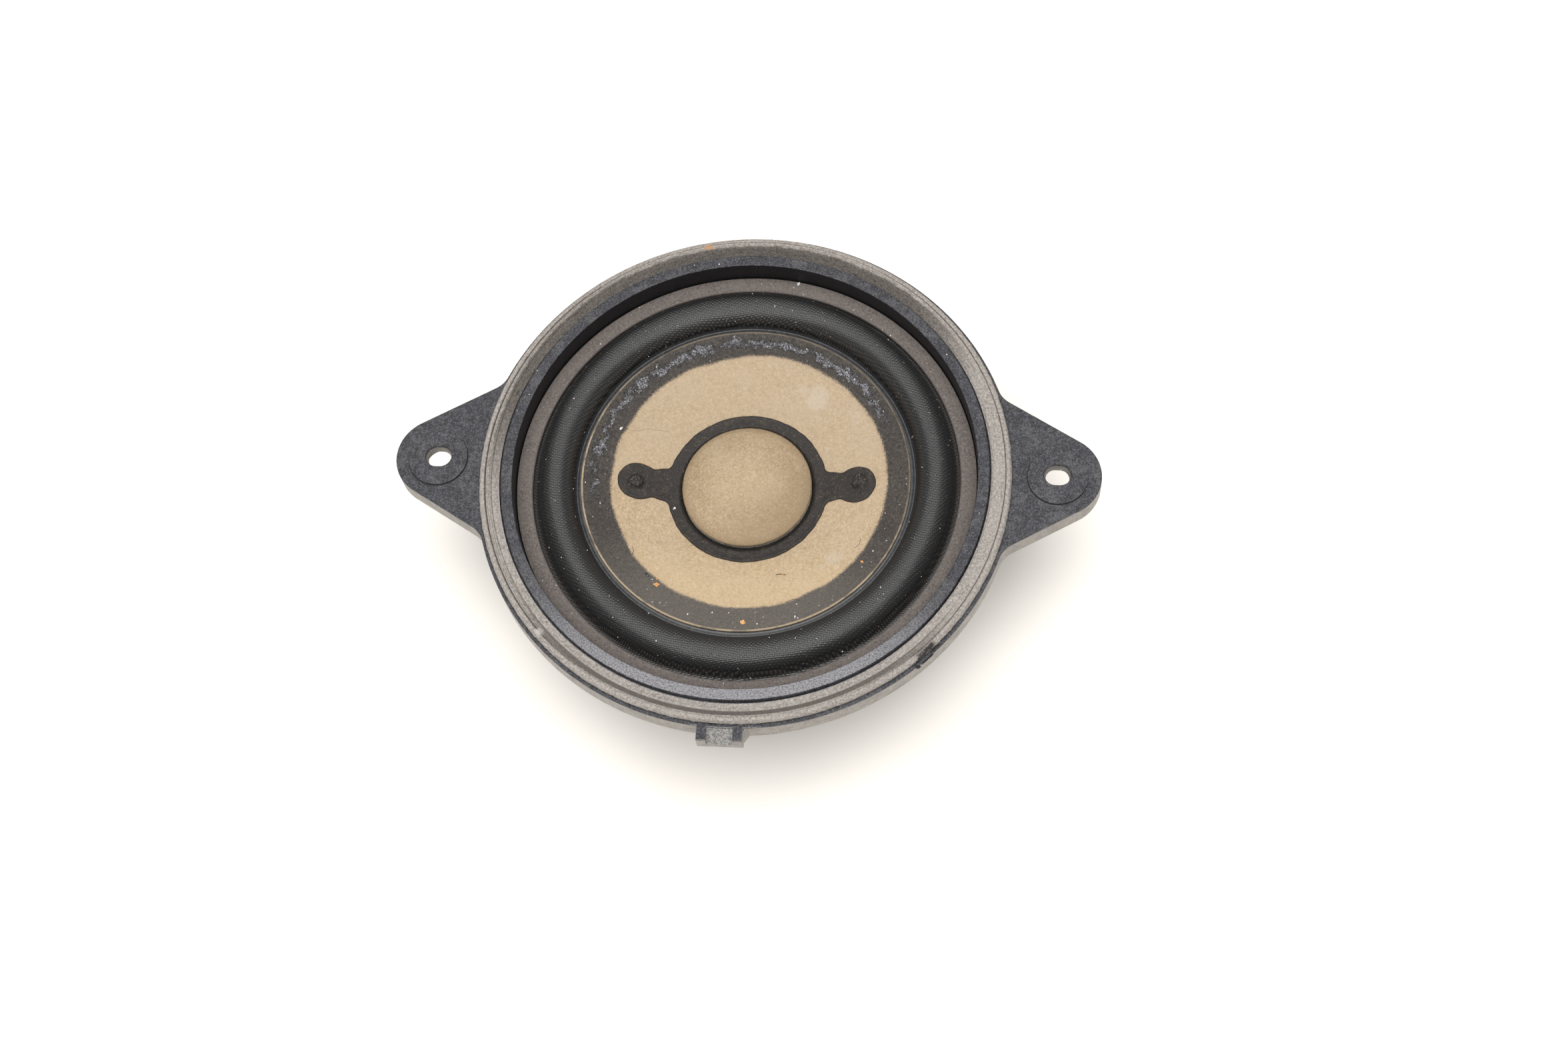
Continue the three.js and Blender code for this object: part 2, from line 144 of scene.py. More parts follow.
def revolve(name, prof, n=288, warp=None):
    """closed outline (r, z), none of it on the axis, turned round Z; warp(theta, r, z) -> r, z"""
    prof = np.asarray(prof, float)
    th = np.arange(n) * 2 * math.pi / n
    R = np.repeat(prof[None, :, 0], n, 0)
    Z = np.repeat(prof[None, :, 1], n, 0)
    T = np.repeat(th[:, None], len(prof), 1)
    if warp is not None:
        R, Z = warp(T, R, Z)
    P = np.stack([R * np.cos(T), R * np.sin(T), Z], 2).reshape(-1, 3)
    return new_mesh(name, P, grid_faces(n, len(prof)))


def revolve_disc(name, prof, n=192, warp=None):
    """open outline whose first and last points are on the axis"""
    prof = np.asarray(prof, float)
    mid = prof[1:-1]
    th = np.arange(n) * 2 * math.pi / n
    R = np.repeat(mid[None, :, 0], n, 0)
    Z = np.repeat(mid[None, :, 1], n, 0)
    T = np.repeat(th[:, None], len(mid), 1)
    if warp is not None:
        R, Z = warp(T, R, Z)
    P = np.stack([R * np.cos(T), R * np.sin(T), Z], 2).reshape(-1, 3).tolist()
    m = len(mid)
    f = grid_faces(n, m, True, False)
    a, b = len(P), len(P) + 1
    P += [[0, 0, prof[0, 1]], [0, 0, prof[-1, 1]]]
    for i in range(n):
        j = (i + 1) % n
        f.append((a, j * m, i * m))
        f.append((b, i * m + m - 1, j * m + m - 1))
    return new_mesh(name, P, f)


def prism(name, outline, z0, z1):
    n = len(outline)
    v = [[x, y, z0] for x, y in outline] + [[x, y, z1] for x, y in outline]
    f = [tuple(range(n - 1, -1, -1)), tuple(range(n, 2 * n))]
    f += [(i, (i + 1) % n, n + (i + 1) % n, n + i) for i in range(n)]
    return new_mesh(name, v, f)


def stack(name, rings):
    """closed solid from outlines of equal length at rising heights: [(outline, z), ...]"""
    n = len(rings[0][0])
    v, f = [], []
    for o, z in rings:
        v += [[x, y, z] for x, y in o]
    for k in range(len(rings) - 1):
        a, b = k * n, (k + 1) * n
        f += [(a + i, a + (i + 1) % n, b + (i + 1) % n, b + i) for i in range(n)]
    f += [tuple(range(n - 1, -1, -1)), tuple(range(len(v) - n, len(v)))]
    return new_mesh(name, v, f)


def rounded_box(name, x0, x1, y0, y1, z0, z1, r=0.3, n=3):
    bm = bmesh.new()
    bmesh.ops.create_cube(bm, size=1.0)
    for v in bm.verts:
        v.co = Vector(((x0 + x1) / 2 + v.co.x * (x1 - x0), (y0 + y1) / 2 + v.co.y * (y1 - y0),
                       (z0 + z1) / 2 + v.co.z * (z1 - z0))) * MM
    if r > 0:
        bmesh.ops.bevel(bm, geom=list(bm.edges), offset=r * MM, segments=n, profile=0.5, affect="EDGES")
    me = bpy.data.meshes.new(name)
    bm.to_mesh(me)
    bm.free()
    ob = bpy.data.objects.new(name, me)
    scene.collection.objects.link(ob)
    return ob


def boolean(a, b, op="UNION"):
    done = None
    for solver in ("MANIFOLD", "EXACT"):
        try:
            m = a.modifiers.new("bool", "BOOLEAN")
            m.operation = op
            m.object = b
            m.solver = solver
            dg = bpy.context.evaluated_depsgraph_get()
            me = bpy.data.meshes.new_from_object(a.evaluated_get(dg))
            a.modifiers.remove(m)
            if len(me.polygons) > 4:
                done = me
                break
        except TypeError:
            a.modifiers.remove(a.modifiers[-1])
    if done is None:
        raise RuntimeError("boolean failed on " + a.name)
    a.data = done
    bpy.data.objects.remove(b)
    return a


def circle(r, n=96, cx=0.0, cy=0.0):
    t = np.arange(n) * 2 * math.pi / n
    return np.stack([cx + r * np.cos(t), cy + r * np.sin(t)], 1)


def arc(cx, cy, r, a0, a1, n):
    t = np.linspace(a0, a1, n + 1)
    return np.stack([cx + r * np.cos(t), cy + r * np.sin(t)], 1)


def flange_outline(grow, k=1):
    R, re, rf = FL_R + grow, EAR_R + grow, EAR_FILLET - grow
    a = math.radians(90 - EAR_DEG)
    sides = {}
    for s in (1, -1):
        n = np.array([math.cos(a), s * math.sin(a)])
        c = n[0] * EAR_X + n[1] * EAR_Y + re + rf
        h = math.sqrt((R + rf) ** 2 - c * c)
        d = np.array([-n[1], n[0]])
        p1, p2 = n * c + d * h, n * c - d * h
        sides[s] = (n, p1 if p1[0] > p2[0] else p2)

    def fil(s):
        n, p = sides[s]
        a0, a1 = math.atan2(-p[1], -p[0]), math.atan2(-n[1], -n[0])
        a1 = a0 + (a1 - a0 + math.pi) % (2 * math.pi) - math.pi
        return arc(p[0], p[1], rf, a0, a1, 10)

    lo, up = fil(-1), fil(1)[::-1]
    line = lambda p, q: p + (q - p) * np.linspace(0, 1, 14)[1:-1, None]
    tip = arc(EAR_X, EAR_Y, re, -a, a, 36)
    right = np.vstack([lo, line(lo[-1], tip[0]), tip, line(tip[-1], up[0]), up])
    au = math.atan2(sides[1][1][1], sides[1][1][0])
    al = math.atan2(sides[-1][1][1], sides[-1][1][0])
    far = arc(0, 0, R, au, math.pi - au, 120)[1:-1]
    near = arc(0, 0, R, math.pi - al, 2 * math.pi + al, 120)[1:-1]
    return np.vstack([right, far, (right * [-1, 1])[::-1], near])


# smooth pseudo-random field, periodic along the first axis
def field(nu, nv, cu, cv, seed, octaves=1):
    rng = np.random.default_rng(seed)
    out = np.zeros((nu, nv))
    amp = 1.0
    for _ in range(octaves):
        g = rng.standard_normal((max(2, cu), max(2, cv + 2)))
        u = np.arange(nu) * g.shape[0] / nu
        v = np.linspace(0, g.shape[1] - 1.001, nv)
        i0 = np.floor(u).astype(int)
        j0 = np.floor(v).astype(int)
        fu, fv = u - i0, v - j0
        fu, fv = fu * fu * (3 - 2 * fu), fv * fv * (3 - 2 * fv)
        i1 = (i0 + 1) % g.shape[0]
        j1 = np.minimum(j0 + 1, g.shape[1] - 1)
        a = g[np.ix_(i0, j0)] * (1 - fv) + g[np.ix_(i0, j1)] * fv
        b = g[np.ix_(i1, j0)] * (1 - fv) + g[np.ix_(i1, j1)] * fv
        out += amp * (a * (1 - fu[:, None]) + b * fu[:, None])
        amp *= 0.5
        cu, cv = cu * 2, cv * 2
    return out


def smooth01(x):
    x = np.clip(x, 0, 1)
    return x * x * (3 - 2 * x)


# --------------------------------------------------------------- material helper
class Mat:
    def __init__(self, name):
        self.m = bpy.data.materials.new(name)
        self.m.use_nodes = True
        self.t = self.m.node_tree
        self.t.nodes.clear()
        out = self.t.nodes.new("ShaderNodeOutputMaterial")
        self.b = self.t.nodes.new("ShaderNodeBsdfPrincipled")
        self.t.links.new(self.b.outputs[0], out.inputs[0])
        tc = self.t.nodes.new("ShaderNodeTexCoord")
        sc = self.t.nodes.new("ShaderNodeVectorMath")
        sc.operation = "SCALE"
        sc.inputs[3].default_value = 1000.0
        self.t.links.new(tc.outputs["Object"], sc.inputs[0])
        self.P = sc.outputs[0]
        sep = self.t.nodes.new("ShaderNodeSeparateXYZ")
        self.t.links.new(self.P, sep.inputs[0])
        self.x, self.y, self.z = sep.outputs
        self.r = self.math("SQRT", self.math("ADD", self.math("MULTIPLY", self.x, self.x),
                                             self.math("MULTIPLY", self.y, self.y)))
        geo = self.t.nodes.new("ShaderNodeNewGeometry")
        nt = self.t.nodes.new("ShaderNodeVectorTransform")
        nt.vector_type = "NORMAL"
        nt.convert_from = "WORLD"
        nt.convert_to = "OBJECT"
        self.t.links.new(geo.outputs["Normal"], nt.inputs[0])
        ns = self.t.nodes.new("ShaderNodeSeparateXYZ")
        self.t.links.new(nt.outputs[0], ns.inputs[0])
        self.nx, self.ny, self.nz = ns.outputs
        self._theta = None

    def _in(self, sock, v):
        if isinstance(v, bpy.types.NodeSocket):
            self.t.links.new(v, sock)
        elif v is not None:
            if isinstance(v, (tuple, list)):
                v = tuple(v) + ((1.0,) if len(v) == 3 and len(sock.default_value) == 4 else ())
            sock.default_value = v

    @property
    def theta(self):
        if self._theta is None:
            self._theta = self.math("ARCTAN2", self.y, self.x)
        return self._theta

    def math(self, op, a, b=None, c=None, clamp=False):
        n = self.t.nodes.new("ShaderNodeMath")
        n.operation = op
        n.use_clamp = clamp
        self._in(n.inputs[0], a)
        self._in(n.inputs[1], b)
        self._in(n.inputs[2], c)
        return n.outputs[0]

    def vec(self, x, y, z):
        n = self.t.nodes.new("ShaderNodeCombineXYZ")
        for s, v in zip(n.inputs, (x, y, z)):
            self._in(s, v)
        return n.outputs[0]

    def mapped(self, loc=(0, 0, 0), rot=(0, 0, 0), scale=(1, 1, 1)):
        n = self.t.nodes.new("ShaderNodeMapping")
        self.t.links.new(self.P, n.inputs[0])
        n.inputs[1].default_value = loc
        n.inputs[2].default_value = rot
        n.inputs[3].default_value = scale
        return n.outputs[0]

    def noise(self, scale, detail=2.0, rough=0.5, vec=None, dist=0.0, offset=0.0):
        n = self.t.nodes.new("ShaderNodeTexNoise")
        v = self.P if vec is None else vec
        if offset:
            o = self.t.nodes.new("ShaderNodeVectorMath")
            o.operation = "ADD"
            self.t.links.new(v, o.inputs[0])
            o.inputs[1].default_value = (offset, offset * 0.37, -offset)
            v = o.outputs[0]
        self.t.links.new(v, n.inputs["Vector"])
        n.inputs["Scale"].default_value = scale
        n.inputs["Detail"].default_value = detail
        n.inputs["Roughness"].default_value = rough
        n.inputs["Distortion"].default_value = dist
        return n.outputs[0]

    def voronoi(self, scale, vec=None, feature="F1", rand=1.0, out="Distance"):
        n = self.t.nodes.new("ShaderNodeTexVoronoi")
        n.feature = feature
        self.t.links.new(self.P if vec is None else vec, n.inputs["Vector"])
        n.inputs["Scale"].default_value = scale
        n.inputs["Randomness"].default_value = rand
        return n.outputs[out]

    def mapr(self, v, a, b, c=0.0, d=1.0, smooth=True):
        n = self.t.nodes.new("ShaderNodeMapRange")
        n.interpolation_type = "SMOOTHSTEP" if smooth else "LINEAR"
        for s, x in zip((0, 1, 2, 3, 4), (v, a, b, c, d)):
            self._in(n.inputs[s], x)
        return n.outputs[0]

    def ramp(self, fac, stops):
        n = self.t.nodes.new("ShaderNodeValToRGB")
        e = n.color_ramp.elements
        while len(e) < len(stops):
            e.new(0.5)
        for el, (p, c) in zip(e, stops):
            el.position = p
            el.color = tuple(c) + (1.0,)
        self._in(n.inputs[0], fac)
        return n.outputs[0]

    def mix(self, fac, a, b, mode="MIX"):
        n = self.t.nodes.new("ShaderNodeMix")
        n.data_type = "RGBA"
        n.blend_type = mode
        self._in(n.inputs[0], fac)
        self._in(n.inputs[6], a)
        self._in(n.inputs[7], b)
        return n.outputs[2]

    def band(self, v, lo, hi, soft):
        """1 between lo and hi with soft shoulders"""
        up = self.mapr(v, lo - soft, lo + soft)
        dn = self.mapr(v, hi - soft, hi + soft, 1.0, 0.0)
        return self.math("MULTIPLY", up, dn)

    def bump(self, height, dist_mm, strength=1.0, normal=None):
        n = self.t.nodes.new("ShaderNodeBump")
        n.inputs["Strength"].default_value = strength
        n.inputs["Distance"].default_value = dist_mm * MM
        self._in(n.inputs["Height"], height)
        if normal is not None:
            self._in(n.inputs["Normal"], normal)
        return n.outputs[0]

    def out(self, color=None, rough=None, normal=None, metal=None, spec=None, sheen=None, coat=None, coat_rough=None):
        b = self.b.inputs
        if color is not None:
            self._in(b["Base Color"], color)
        if rough is not None:
            self._in(b["Roughness"], rough)
        if normal is not None:
            self._in(b["Normal"], normal)
        if metal is not None:
            self._in(b["Metallic"], metal)
        if spec is not None:
            b["Specular IOR Level"].default_value = spec
        if sheen is not None:
            b["Sheen Weight"].default_value = sheen
        if coat is not None:
            b["Coat Weight"].default_value = coat
        if coat_rough is not None:
            b["Coat Roughness"].default_value = coat_rough
        return self.m


def put(ob, mat):
    ob.data.materials.clear()
    ob.data.materials.append(mat)
    return ob


def finish_piece(ob, mat, body, nodes=()):
    put(ob, mat)
    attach(ob, body)
    if nodes:
        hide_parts(*nodes)
    return ob


# ------------------------------------------------------------------- materials
def dust_mask(m, scale=1.1, size=0.055, amount=0.5, offset=0.0):
    """sparse pale specks: small cells of a voronoi field, thinned out by noise"""
    v = m.mapped(loc=(offset, offset * 1.7, offset * 0.3))
    d = m.voronoi(scale, vec=v)
    col = m.voronoi(scale, vec=v, out="Color")
    sep = m.t.nodes.new("ShaderNodeSeparateColor")
    m.t.links.new(col, sep.inputs[0])
    keep = m.math("LESS_THAN", sep.outputs[0], amount)
    rad = m.math("MULTIPLY", sep.outputs[1], size)
    spot = m.math("LESS_THAN", d, rad)
    return m.math("MULTIPLY", spot, keep)


def mat_plastic():
    m = Mat("moulded_plastic")
    cloud = m.noise(0.20, 3, 0.6)
    mid = m.noise(0.85, 6, 0.78, dist=0.4, offset=11.0)
    grain = m.noise(3.0, 4, 0.80, offset=3.0)
    scuff = m.noise(1.0, 5, 0.75, vec=m.mapped(rot=(0, 0, 0.5), scale=(1.0, 0.35, 1.0)), dist=0.8, offset=7.0)
    col = m.ramp(mid, [(0.42, (0.0060, 0.0064, 0.0095)), (0.50, (0.0150, 0.0158, 0.0225)), (0.58, (0.042, 0.043, 0.054))])
    col = m.mix(m.math("MULTIPLY", m.mapr(cloud, 0.46, 0.62), m.mapr(mid, 0.42, 0.56)), col, (0.062, 0.061, 0.067))
    col = m.mix(m.mapr(scuff, 0.57, 0.66, 0.0, 0.55), col, (0.082, 0.080, 0.084))
    col = m.mix(m.mapr(grain, 0.51, 0.60, 0.0, 0.60), col, (0.132, 0.132, 0.148))
    col = m.mix(m.mapr(grain, 0.40, 0.47, 0.65, 0.0), col, (0.004, 0.0045, 0.0065))
    # pale film on the walls under the front face: dust, and a painted reflection of the pale table on these walls
    wall = m.mapr(m.math("ABSOLUTE", m.nz), 0.25, 0.6, 1.0, 0.0)
    outer = m.mapr(m.r, 47.0, 49.5)
    film = m.math("MULTIPLY", m.math("MULTIPLY", wall, outer), m.mapr(m.noise(0.5, 4, 0.65), 0.35, 0.6, 0.72, 1.0))
    film = m.math("MULTIPLY", film, m.math("MULTIPLY", m.mapr(m.z, 27.0, 30.0, 0.25, 1.0), m.mapr(m.z, 33.95, 34.25, 1.0, 0.0)))
    dust_and_table_reflection = m.mix(m.mapr(grain, 0.42, 0.6), (0.225, 0.208, 0.185), (0.325, 0.305, 0.280))
    col = m.mix(film, col, dust_and_table_reflection)
    # dust lies on the slope of the clip
    tilt = m.band(m.nz, 0.62, 0.92, 0.04)
    clip = m.math("MULTIPLY", tilt, m.mapr(m.y, -50.6, -50.4, 1.0, 0.0))
    col = m.mix(m.math("MULTIPLY", clip, 0.85), col, m.mix(m.mapr(grain, 0.42, 0.58), (0.13, 0.125, 0.12), (0.36, 0.35, 0.335)))
    # painted shade: dark line round the raised faces of the ears, heaviest on their near and inner side, where the step
    # wall is in shade
    for s in (-1, 1):
        px = m.math("SUBTRACT", m.x, s * EAR_X)
        py = m.math("SUBTRACT", m.y, EAR_Y - 0.35)
        pd = m.math("SQRT", m.math("ADD", m.math("MULTIPLY", px, px), m.math("MULTIPLY", py, py)))
        line = m.math("MULTIPLY", m.band(pd, PAD_R - 0.02, PAD_R + 0.16, 0.03), m.mapr(m.math("ADD", m.math("MULTIPLY", px, -0.6 * s), m.math("MULTIPLY", py, -1.0)), -3.5, 1.5))
        col = m.mix(m.math("MULTIPLY", line, 0.9), col, (0.003, 0.003, 0.004))
    # painted shade: the inner wall of the rim is painted darker, for the shade down in the rim
    well = m.math("MULTIPLY", wall, m.mapr(m.r, 44.6, 45.2, 1.0, 0.0))
    col = m.mix(m.math("MULTIPLY", well, 0.9), col, (0.0022, 0.0023, 0.0033))
    # dust and painted sheen: the top of the rim on the near side is painted paler, in grains
    rimtop_dust_and_sheen = m.math("MULTIPLY", m.mapr(m.nz, 0.6, 0.9), m.mapr(m.r, 47.6, 48.2, 1.0, 0.0))
    rimtop_dust_and_sheen = m.math("MULTIPLY", rimtop_dust_and_sheen, m.mapr(m.math("DIVIDE", m.y, m.math("MAXIMUM", m.r, 1.0)), -0.95, -0.45, 1.0, 0.0))
    col = m.mix(m.math("MULTIPLY", rimtop_dust_and_sheen, m.mapr(grain, 0.40, 0.56, 0.25, 0.70)), col, (0.34, 0.335, 0.355))
    specks = dust_mask(m, 1.25, 0.085, 0.20, 5.0)
    up = m.mapr(m.nz, 0.5, 0.8)
    col = m.mix(m.math("MULTIPLY", m.math("MULTIPLY", specks, up), 0.7), col, (0.42, 0.41, 0.385))
    n1 = m.bump(grain, 0.11, 0.9)
    n2 = m.bump(mid, 0.20, 0.55, n1)
    rough = m.mapr(mid, 0.38, 0.62, 0.36, 0.56, smooth=False)
    return m.out(col, rough, n2, 0.0, spec=0.5)


def mat_foam():
    m = Mat("gasket_foam")
    fine = m.noise(5.2, 4, 0.80)
    mid = m.noise(2.2, 3, 0.6, offset=4.0)
    big = m.noise(0.12, 2, 0.5, offset=9.0)
    ring = m.vec(m.r, m.math("MULTIPLY", m.theta, 46.0), 0.0)
    stretch = m.t.nodes.new("ShaderNodeMapping")
    m.t.links.new(ring, stretch.inputs[0])
    stretch.inputs[3].default_value = (3.2, 0.10, 1.0)
    groove = m.noise(1.0, 3, 0.6, vec=stretch.outputs[0])
    base = m.ramp(mid, [(0.34, (0.225, 0.203, 0.184)), (0.5, (0.335, 0.308, 0.283)), (0.66, (0.450, 0.420, 0.392))])
    base = m.mix(m.mapr(groove, 0.45, 0.62, 0.0, 0.14), base, (0.36, 0.335, 0.31))
    base = m.mix(m.mapr(groove, 0.36, 0.44, 0.10, 0.0), base, (0.11, 0.096, 0.086))
    base = m.mix(m.mapr(fine, 0.34, 0.46, 0.75, 0.0), base, (0.080, 0.070, 0.062))
    base = m.mix(m.mapr(fine, 0.54, 0.68, 0.0, 0.60), base, (0.62, 0.59, 0.555))
    base = m.mix(m.mapr(big, 0.5, 0.7, 0.0, 0.25), base, (0.38, 0.345, 0.31))
    # shadowed grooves, different on each side of the ring
    cx = m.math("DIVIDE", m.x, m.r)
    cy = m.math("DIVIDE", m.y, m.r)
    sq = lambda v, k: m.math("POWER", m.math("MAXIMUM", m.math("MULTIPLY", v, k), 0.0), 2.0)
    wl, wr, wn, wf = sq(cx, -1.0), sq(cx, 1.0), sq(cy, -1.0), sq(cy, 1.0)
    wv = m.math("ADD", m.r, m.math("MULTIPLY", m.math("SUBTRACT", mid, 0.5), 0.18))
    for at, wd, w, k in ((49.15, 0.11, wl, 0.85), (48.75, 0.05, wl, 0.45), (48.35, 0.05, wl, 0.45), (47.95, 0.07, wl, 0.6), (49.2, 0.09, wr, 0.75),
                         (48.12, 0.09, wn, 0.8), (49.35, 0.05, wn, 0.45), (48.8, 0.06, wf, 0.35), (49.3, 0.07, wf, 0.55), (49.7, 0.04, wf, 0.3)):
        line = m.math("MULTIPLY", m.band(wv, at - wd, at + wd, 0.05), m.mapr(w, 0.12, 0.5))
        base = m.mix(m.math("MULTIPLY", line, k), base, (0.070, 0.056, 0.046))
    # painted shade: on the near side the rising slope of the strip is darkened
    slope = m.math("MULTIPLY", m.band(wv, 48.2, 49.1, 0.12), m.mapr(wn, 0.25, 0.7))
    base = m.mix(m.math("MULTIPLY", slope, 0.72), base, (0.075, 0.063, 0.054))
    # open pores on the inner slope of the far half, over a painted shade that darkens the whole slope
    inner = m.mapr(m.math("ADD", m.r, m.math("MULTIPLY", m.math("SUBTRACT", m.noise(0.5, 3, 0.6, offset=33.0), 0.5), 0.9)), 48.15, 48.75, 1.0, 0.0)
    far = m.mapr(m.math("SUBTRACT", m.y, m.math("MULTIPLY", m.x, 0.30)), 4.0, 30.0)
    pore = m.voronoi(4.2)
    holes = m.math("MULTIPLY", m.math("MULTIPLY", inner, far), m.mapr(m.math("ADD", pore, m.math("MULTIPLY", mid, 0.4)), 0.35, 0.75, 1.0, 0.35))
    base = m.mix(m.math("MULTIPLY", m.math("MULTIPLY", inner, far), 0.72), base, (0.118, 0.102, 0.090))
    base = m.mix(m.math("MULTIPLY", holes, 0.85), base, (0.034, 0.029, 0.026))
    # black smear where the strip has been torn on the near right edge
    dx = m.math("SUBTRACT", m.x, 36.2)
    dy = m.math("ADD", m.y, 35.6)
    along = m.math("ADD", m.math("MULTIPLY", dx, 0.70), m.math("MULTIPLY", dy, 0.71))
    d = m.math("SQRT", m.math("ADD", m.math("POWER", m.math("MULTIPLY", along, 0.42), 2.0), m.math("MULTIPLY", dx, 0.0)))
    smear = m.math("MULTIPLY", m.mapr(m.math("ADD", d, m.math("MULTIPLY", mid, 0.9)), 1.15, 1.55, 1.0, 0.0), m.mapr(m.r, 49.2, 49.7))
    near = m.math("MULTIPLY", m.mapr(m.x, 30.0, 31.0), m.mapr(m.y, -31.0, -30.0, 1.0, 0.0))
    smear = m.math("MULTIPLY", smear, near)
    base = m.mix(m.math("MULTIPLY", smear, m.mapr(mid, 0.42, 0.56, 0.25, 0.9)), base, (0.030, 0.027, 0.026))
    kx = m.math("ADD", m.x, 35.3)
    ky = m.math("ADD", m.y, 34.3)
    kd = m.math("SQRT", m.math("ADD", m.math("MULTIPLY", kx, kx), m.math("MULTIPLY", ky, ky)))
    base = m.mix(m.mapr(m.math("ADD", kd, mid), 1.0, 1.5, 0.7, 0.0), base, (0.50, 0.475, 0.44))
    # an orange crumb stain on the far left of the strip
    ox = m.math("ADD", m.x, 10.3)
    oy = m.math("SUBTRACT", m.y, 47.9)
    od = m.math("SQRT", m.math("ADD", m.math("MULTIPLY", ox, ox), m.math("MULTIPLY", m.math("MULTIPLY", oy, 3.0), oy)))
    base = m.mix(m.mapr(m.math("ADD", od, m.math("MULTIPLY", mid, 0.9)), 0.9, 1.7, 0.6, 0.0), base, (0.55, 0.27, 0.08))
    n1 = m.bump(fine, 0.16, 0.9)
    n2 = m.bump(mid, 0.15, 0.4, n1)
    return m.out(base, 0.92, n2, 0.0, spec=0.25)


def mat_clamp():
    m = Mat("clamp_board")
    fib = m.noise(2.6, 5, 0.78, dist=0.6)
    big = m.noise(0.25, 2, 0.5, offset=2.0)
    col = m.ramp(fib, [(0.38, (0.080, 0.068, 0.062)), (0.5, (0.128, 0.110, 0.101)), (0.62, (0.185, 0.163, 0.150))])
    col = m.mix(m.mapr(big, 0.4, 0.65, 0.0, 0.3), col, (0.155, 0.135, 0.122))
    # painted shade: the inner edge of the ring is darkened, next to the gap over the cloth
    edge = m.mapr(m.r, 40.75, 41.15, 0.55, 0.0)
    col = m.mix(edge, col, (0.030, 0.026, 0.026))
    specks = dust_mask(m, 1.7, 0.10, 0.22, 2.0)
    col = m.mix(m.math("MULTIPLY", specks, 0.85), col, (0.72, 0.70, 0.66))
    return m.out(col, 0.86, m.bump(fib, 0.03, 0.6), 0.0, spec=0.3)


def mat_surround():
    m = Mat("surround_cloth")
    # plain weave, one thread set standing prouder than the other, turned about 10 degrees
    pitch_u, pitch_v = 0.42, 0.34
    a = math.radians(10.0)
    u = m.math("ADD", m.math("MULTIPLY", m.x, math.cos(a)), m.math("MULTIPLY", m.y, math.sin(a)))
    v = m.math("SUBTRACT", m.math("MULTIPLY", m.y, math.cos(a)), m.math("MULTIPLY", m.x, math.sin(a)))
    wob = m.math("MULTIPLY", m.math("SUBTRACT", m.noise(0.12, 2, 0.5), 0.5), 0.9)
    v = m.math("ADD", v, wob)
    su = m.math("SINE", m.math("MULTIPLY", u, math.pi / pitch_u))
    sv = m.math("SINE", m.math("MULTIPLY", v, math.pi / pitch_v))
    over = m.mapr(m.math("MULTIPLY", su, sv), -0.25, 0.25)
    rib = m.math("ABSOLUTE", sv)
    cross = m.math("MULTIPLY", m.math("ABSOLUTE", su), 0.45)
    h = m.math("ADD", m.math("MULTIPLY", m.math("ADD", 0.30, m.math("MULTIPLY", over, 0.70)), rib),
               m.math("MULTIPLY", m.math("MULTIPLY", m.math("SUBTRACT", 1.0, over), cross), 0.35))
    fuzz = m.noise(9.0, 2, 0.6)
    lip = m.mapr(m.r, 39.45, 39.75)
    inner = m.mapr(m.r, 32.35, 32.6, 1.0, 0.0)
    # weave colour by thread height: painted glints on the thread tops and painted shade between the threads
    col = m.ramp(h, [(0.10, (0.0015, 0.0015, 0.0018)), (0.55, (0.0050, 0.0050, 0.0055)), (0.95, (0.030, 0.0290, 0.0290))])
    col = m.mix(m.mapr(fuzz, 0.56, 0.78, 0.0, 0.5), col, (0.035, 0.034, 0.033))
    col = m.mix(m.math("MULTIPLY", lip, m.mapr(h, 0.1, 0.9, 0.15, 0.85)), col, (0.085, 0.080, 0.075))
    grey = m.ramp(m.noise(1.6, 3, 0.6), [(0.3, (0.020, 0.021, 0.023)), (0.7, (0.055, 0.056, 0.060))])
    lines = m.math("ABSOLUTE", m.math("SINE", m.math("MULTIPLY", m.r, 6.6)))
    grey = m.mix(m.mapr(lines, 0.0, 0.45, 0.8, 0.0), grey, (0.012, 0.012, 0.013))
    col = m.mix(inner, col, grey)
    # painted shade: the inner slope of the roll on the near side and the outer slope by the clamp ring are darkened and
    # made rougher
    near = m.mapr(m.math("DIVIDE", m.y, m.math("MAXIMUM", m.r, 1.0)), -0.85, -0.15, 1.0, 0.0)
    slope = m.math("MULTIPLY", m.math("MULTIPLY", near, m.mapr(m.r, 33.2, 35.6, 0.8, 0.0)), m.math("SUBTRACT", 1.0, inner))
    slope = m.math("MAXIMUM", slope, m.math("MULTIPLY", m.band(m.r, 38.5, 39.5, 0.45), 0.8))
    col = m.mix(slope, col, (0.0012, 0.0012, 0.0014))
    specks = m.math("MAXIMUM", dust_mask(m, 1.3, 0.085, 0.36, 1.0), m.math("MAXIMUM", dust_mask(m, 2.6, 0.11, 0.32, 8.0), dust_mask(m, 4.2, 0.14, 0.24, 18.0)))
    col = m.mix(m.math("MULTIPLY", specks, 0.85), col, (0.60, 0.59, 0.57))
    hh = m.math("MULTIPLY", h, m.math("SUBTRACT", 1.0, inner))
    n1 = m.bump(hh, 0.075, 0.8)
    n2 = m.bump(fuzz, 0.035, 0.5, n1)
    rough = m.mix(inner, (0.50, 0.50, 0.50), (0.38, 0.38, 0.38))
    return m.out(col, m.math("ADD", m.mapr(inner, 0.0, 1.0, 0.30, 0.42), m.math("MULTIPLY", slope, 0.6)), n2, 0.0, spec=0.58)


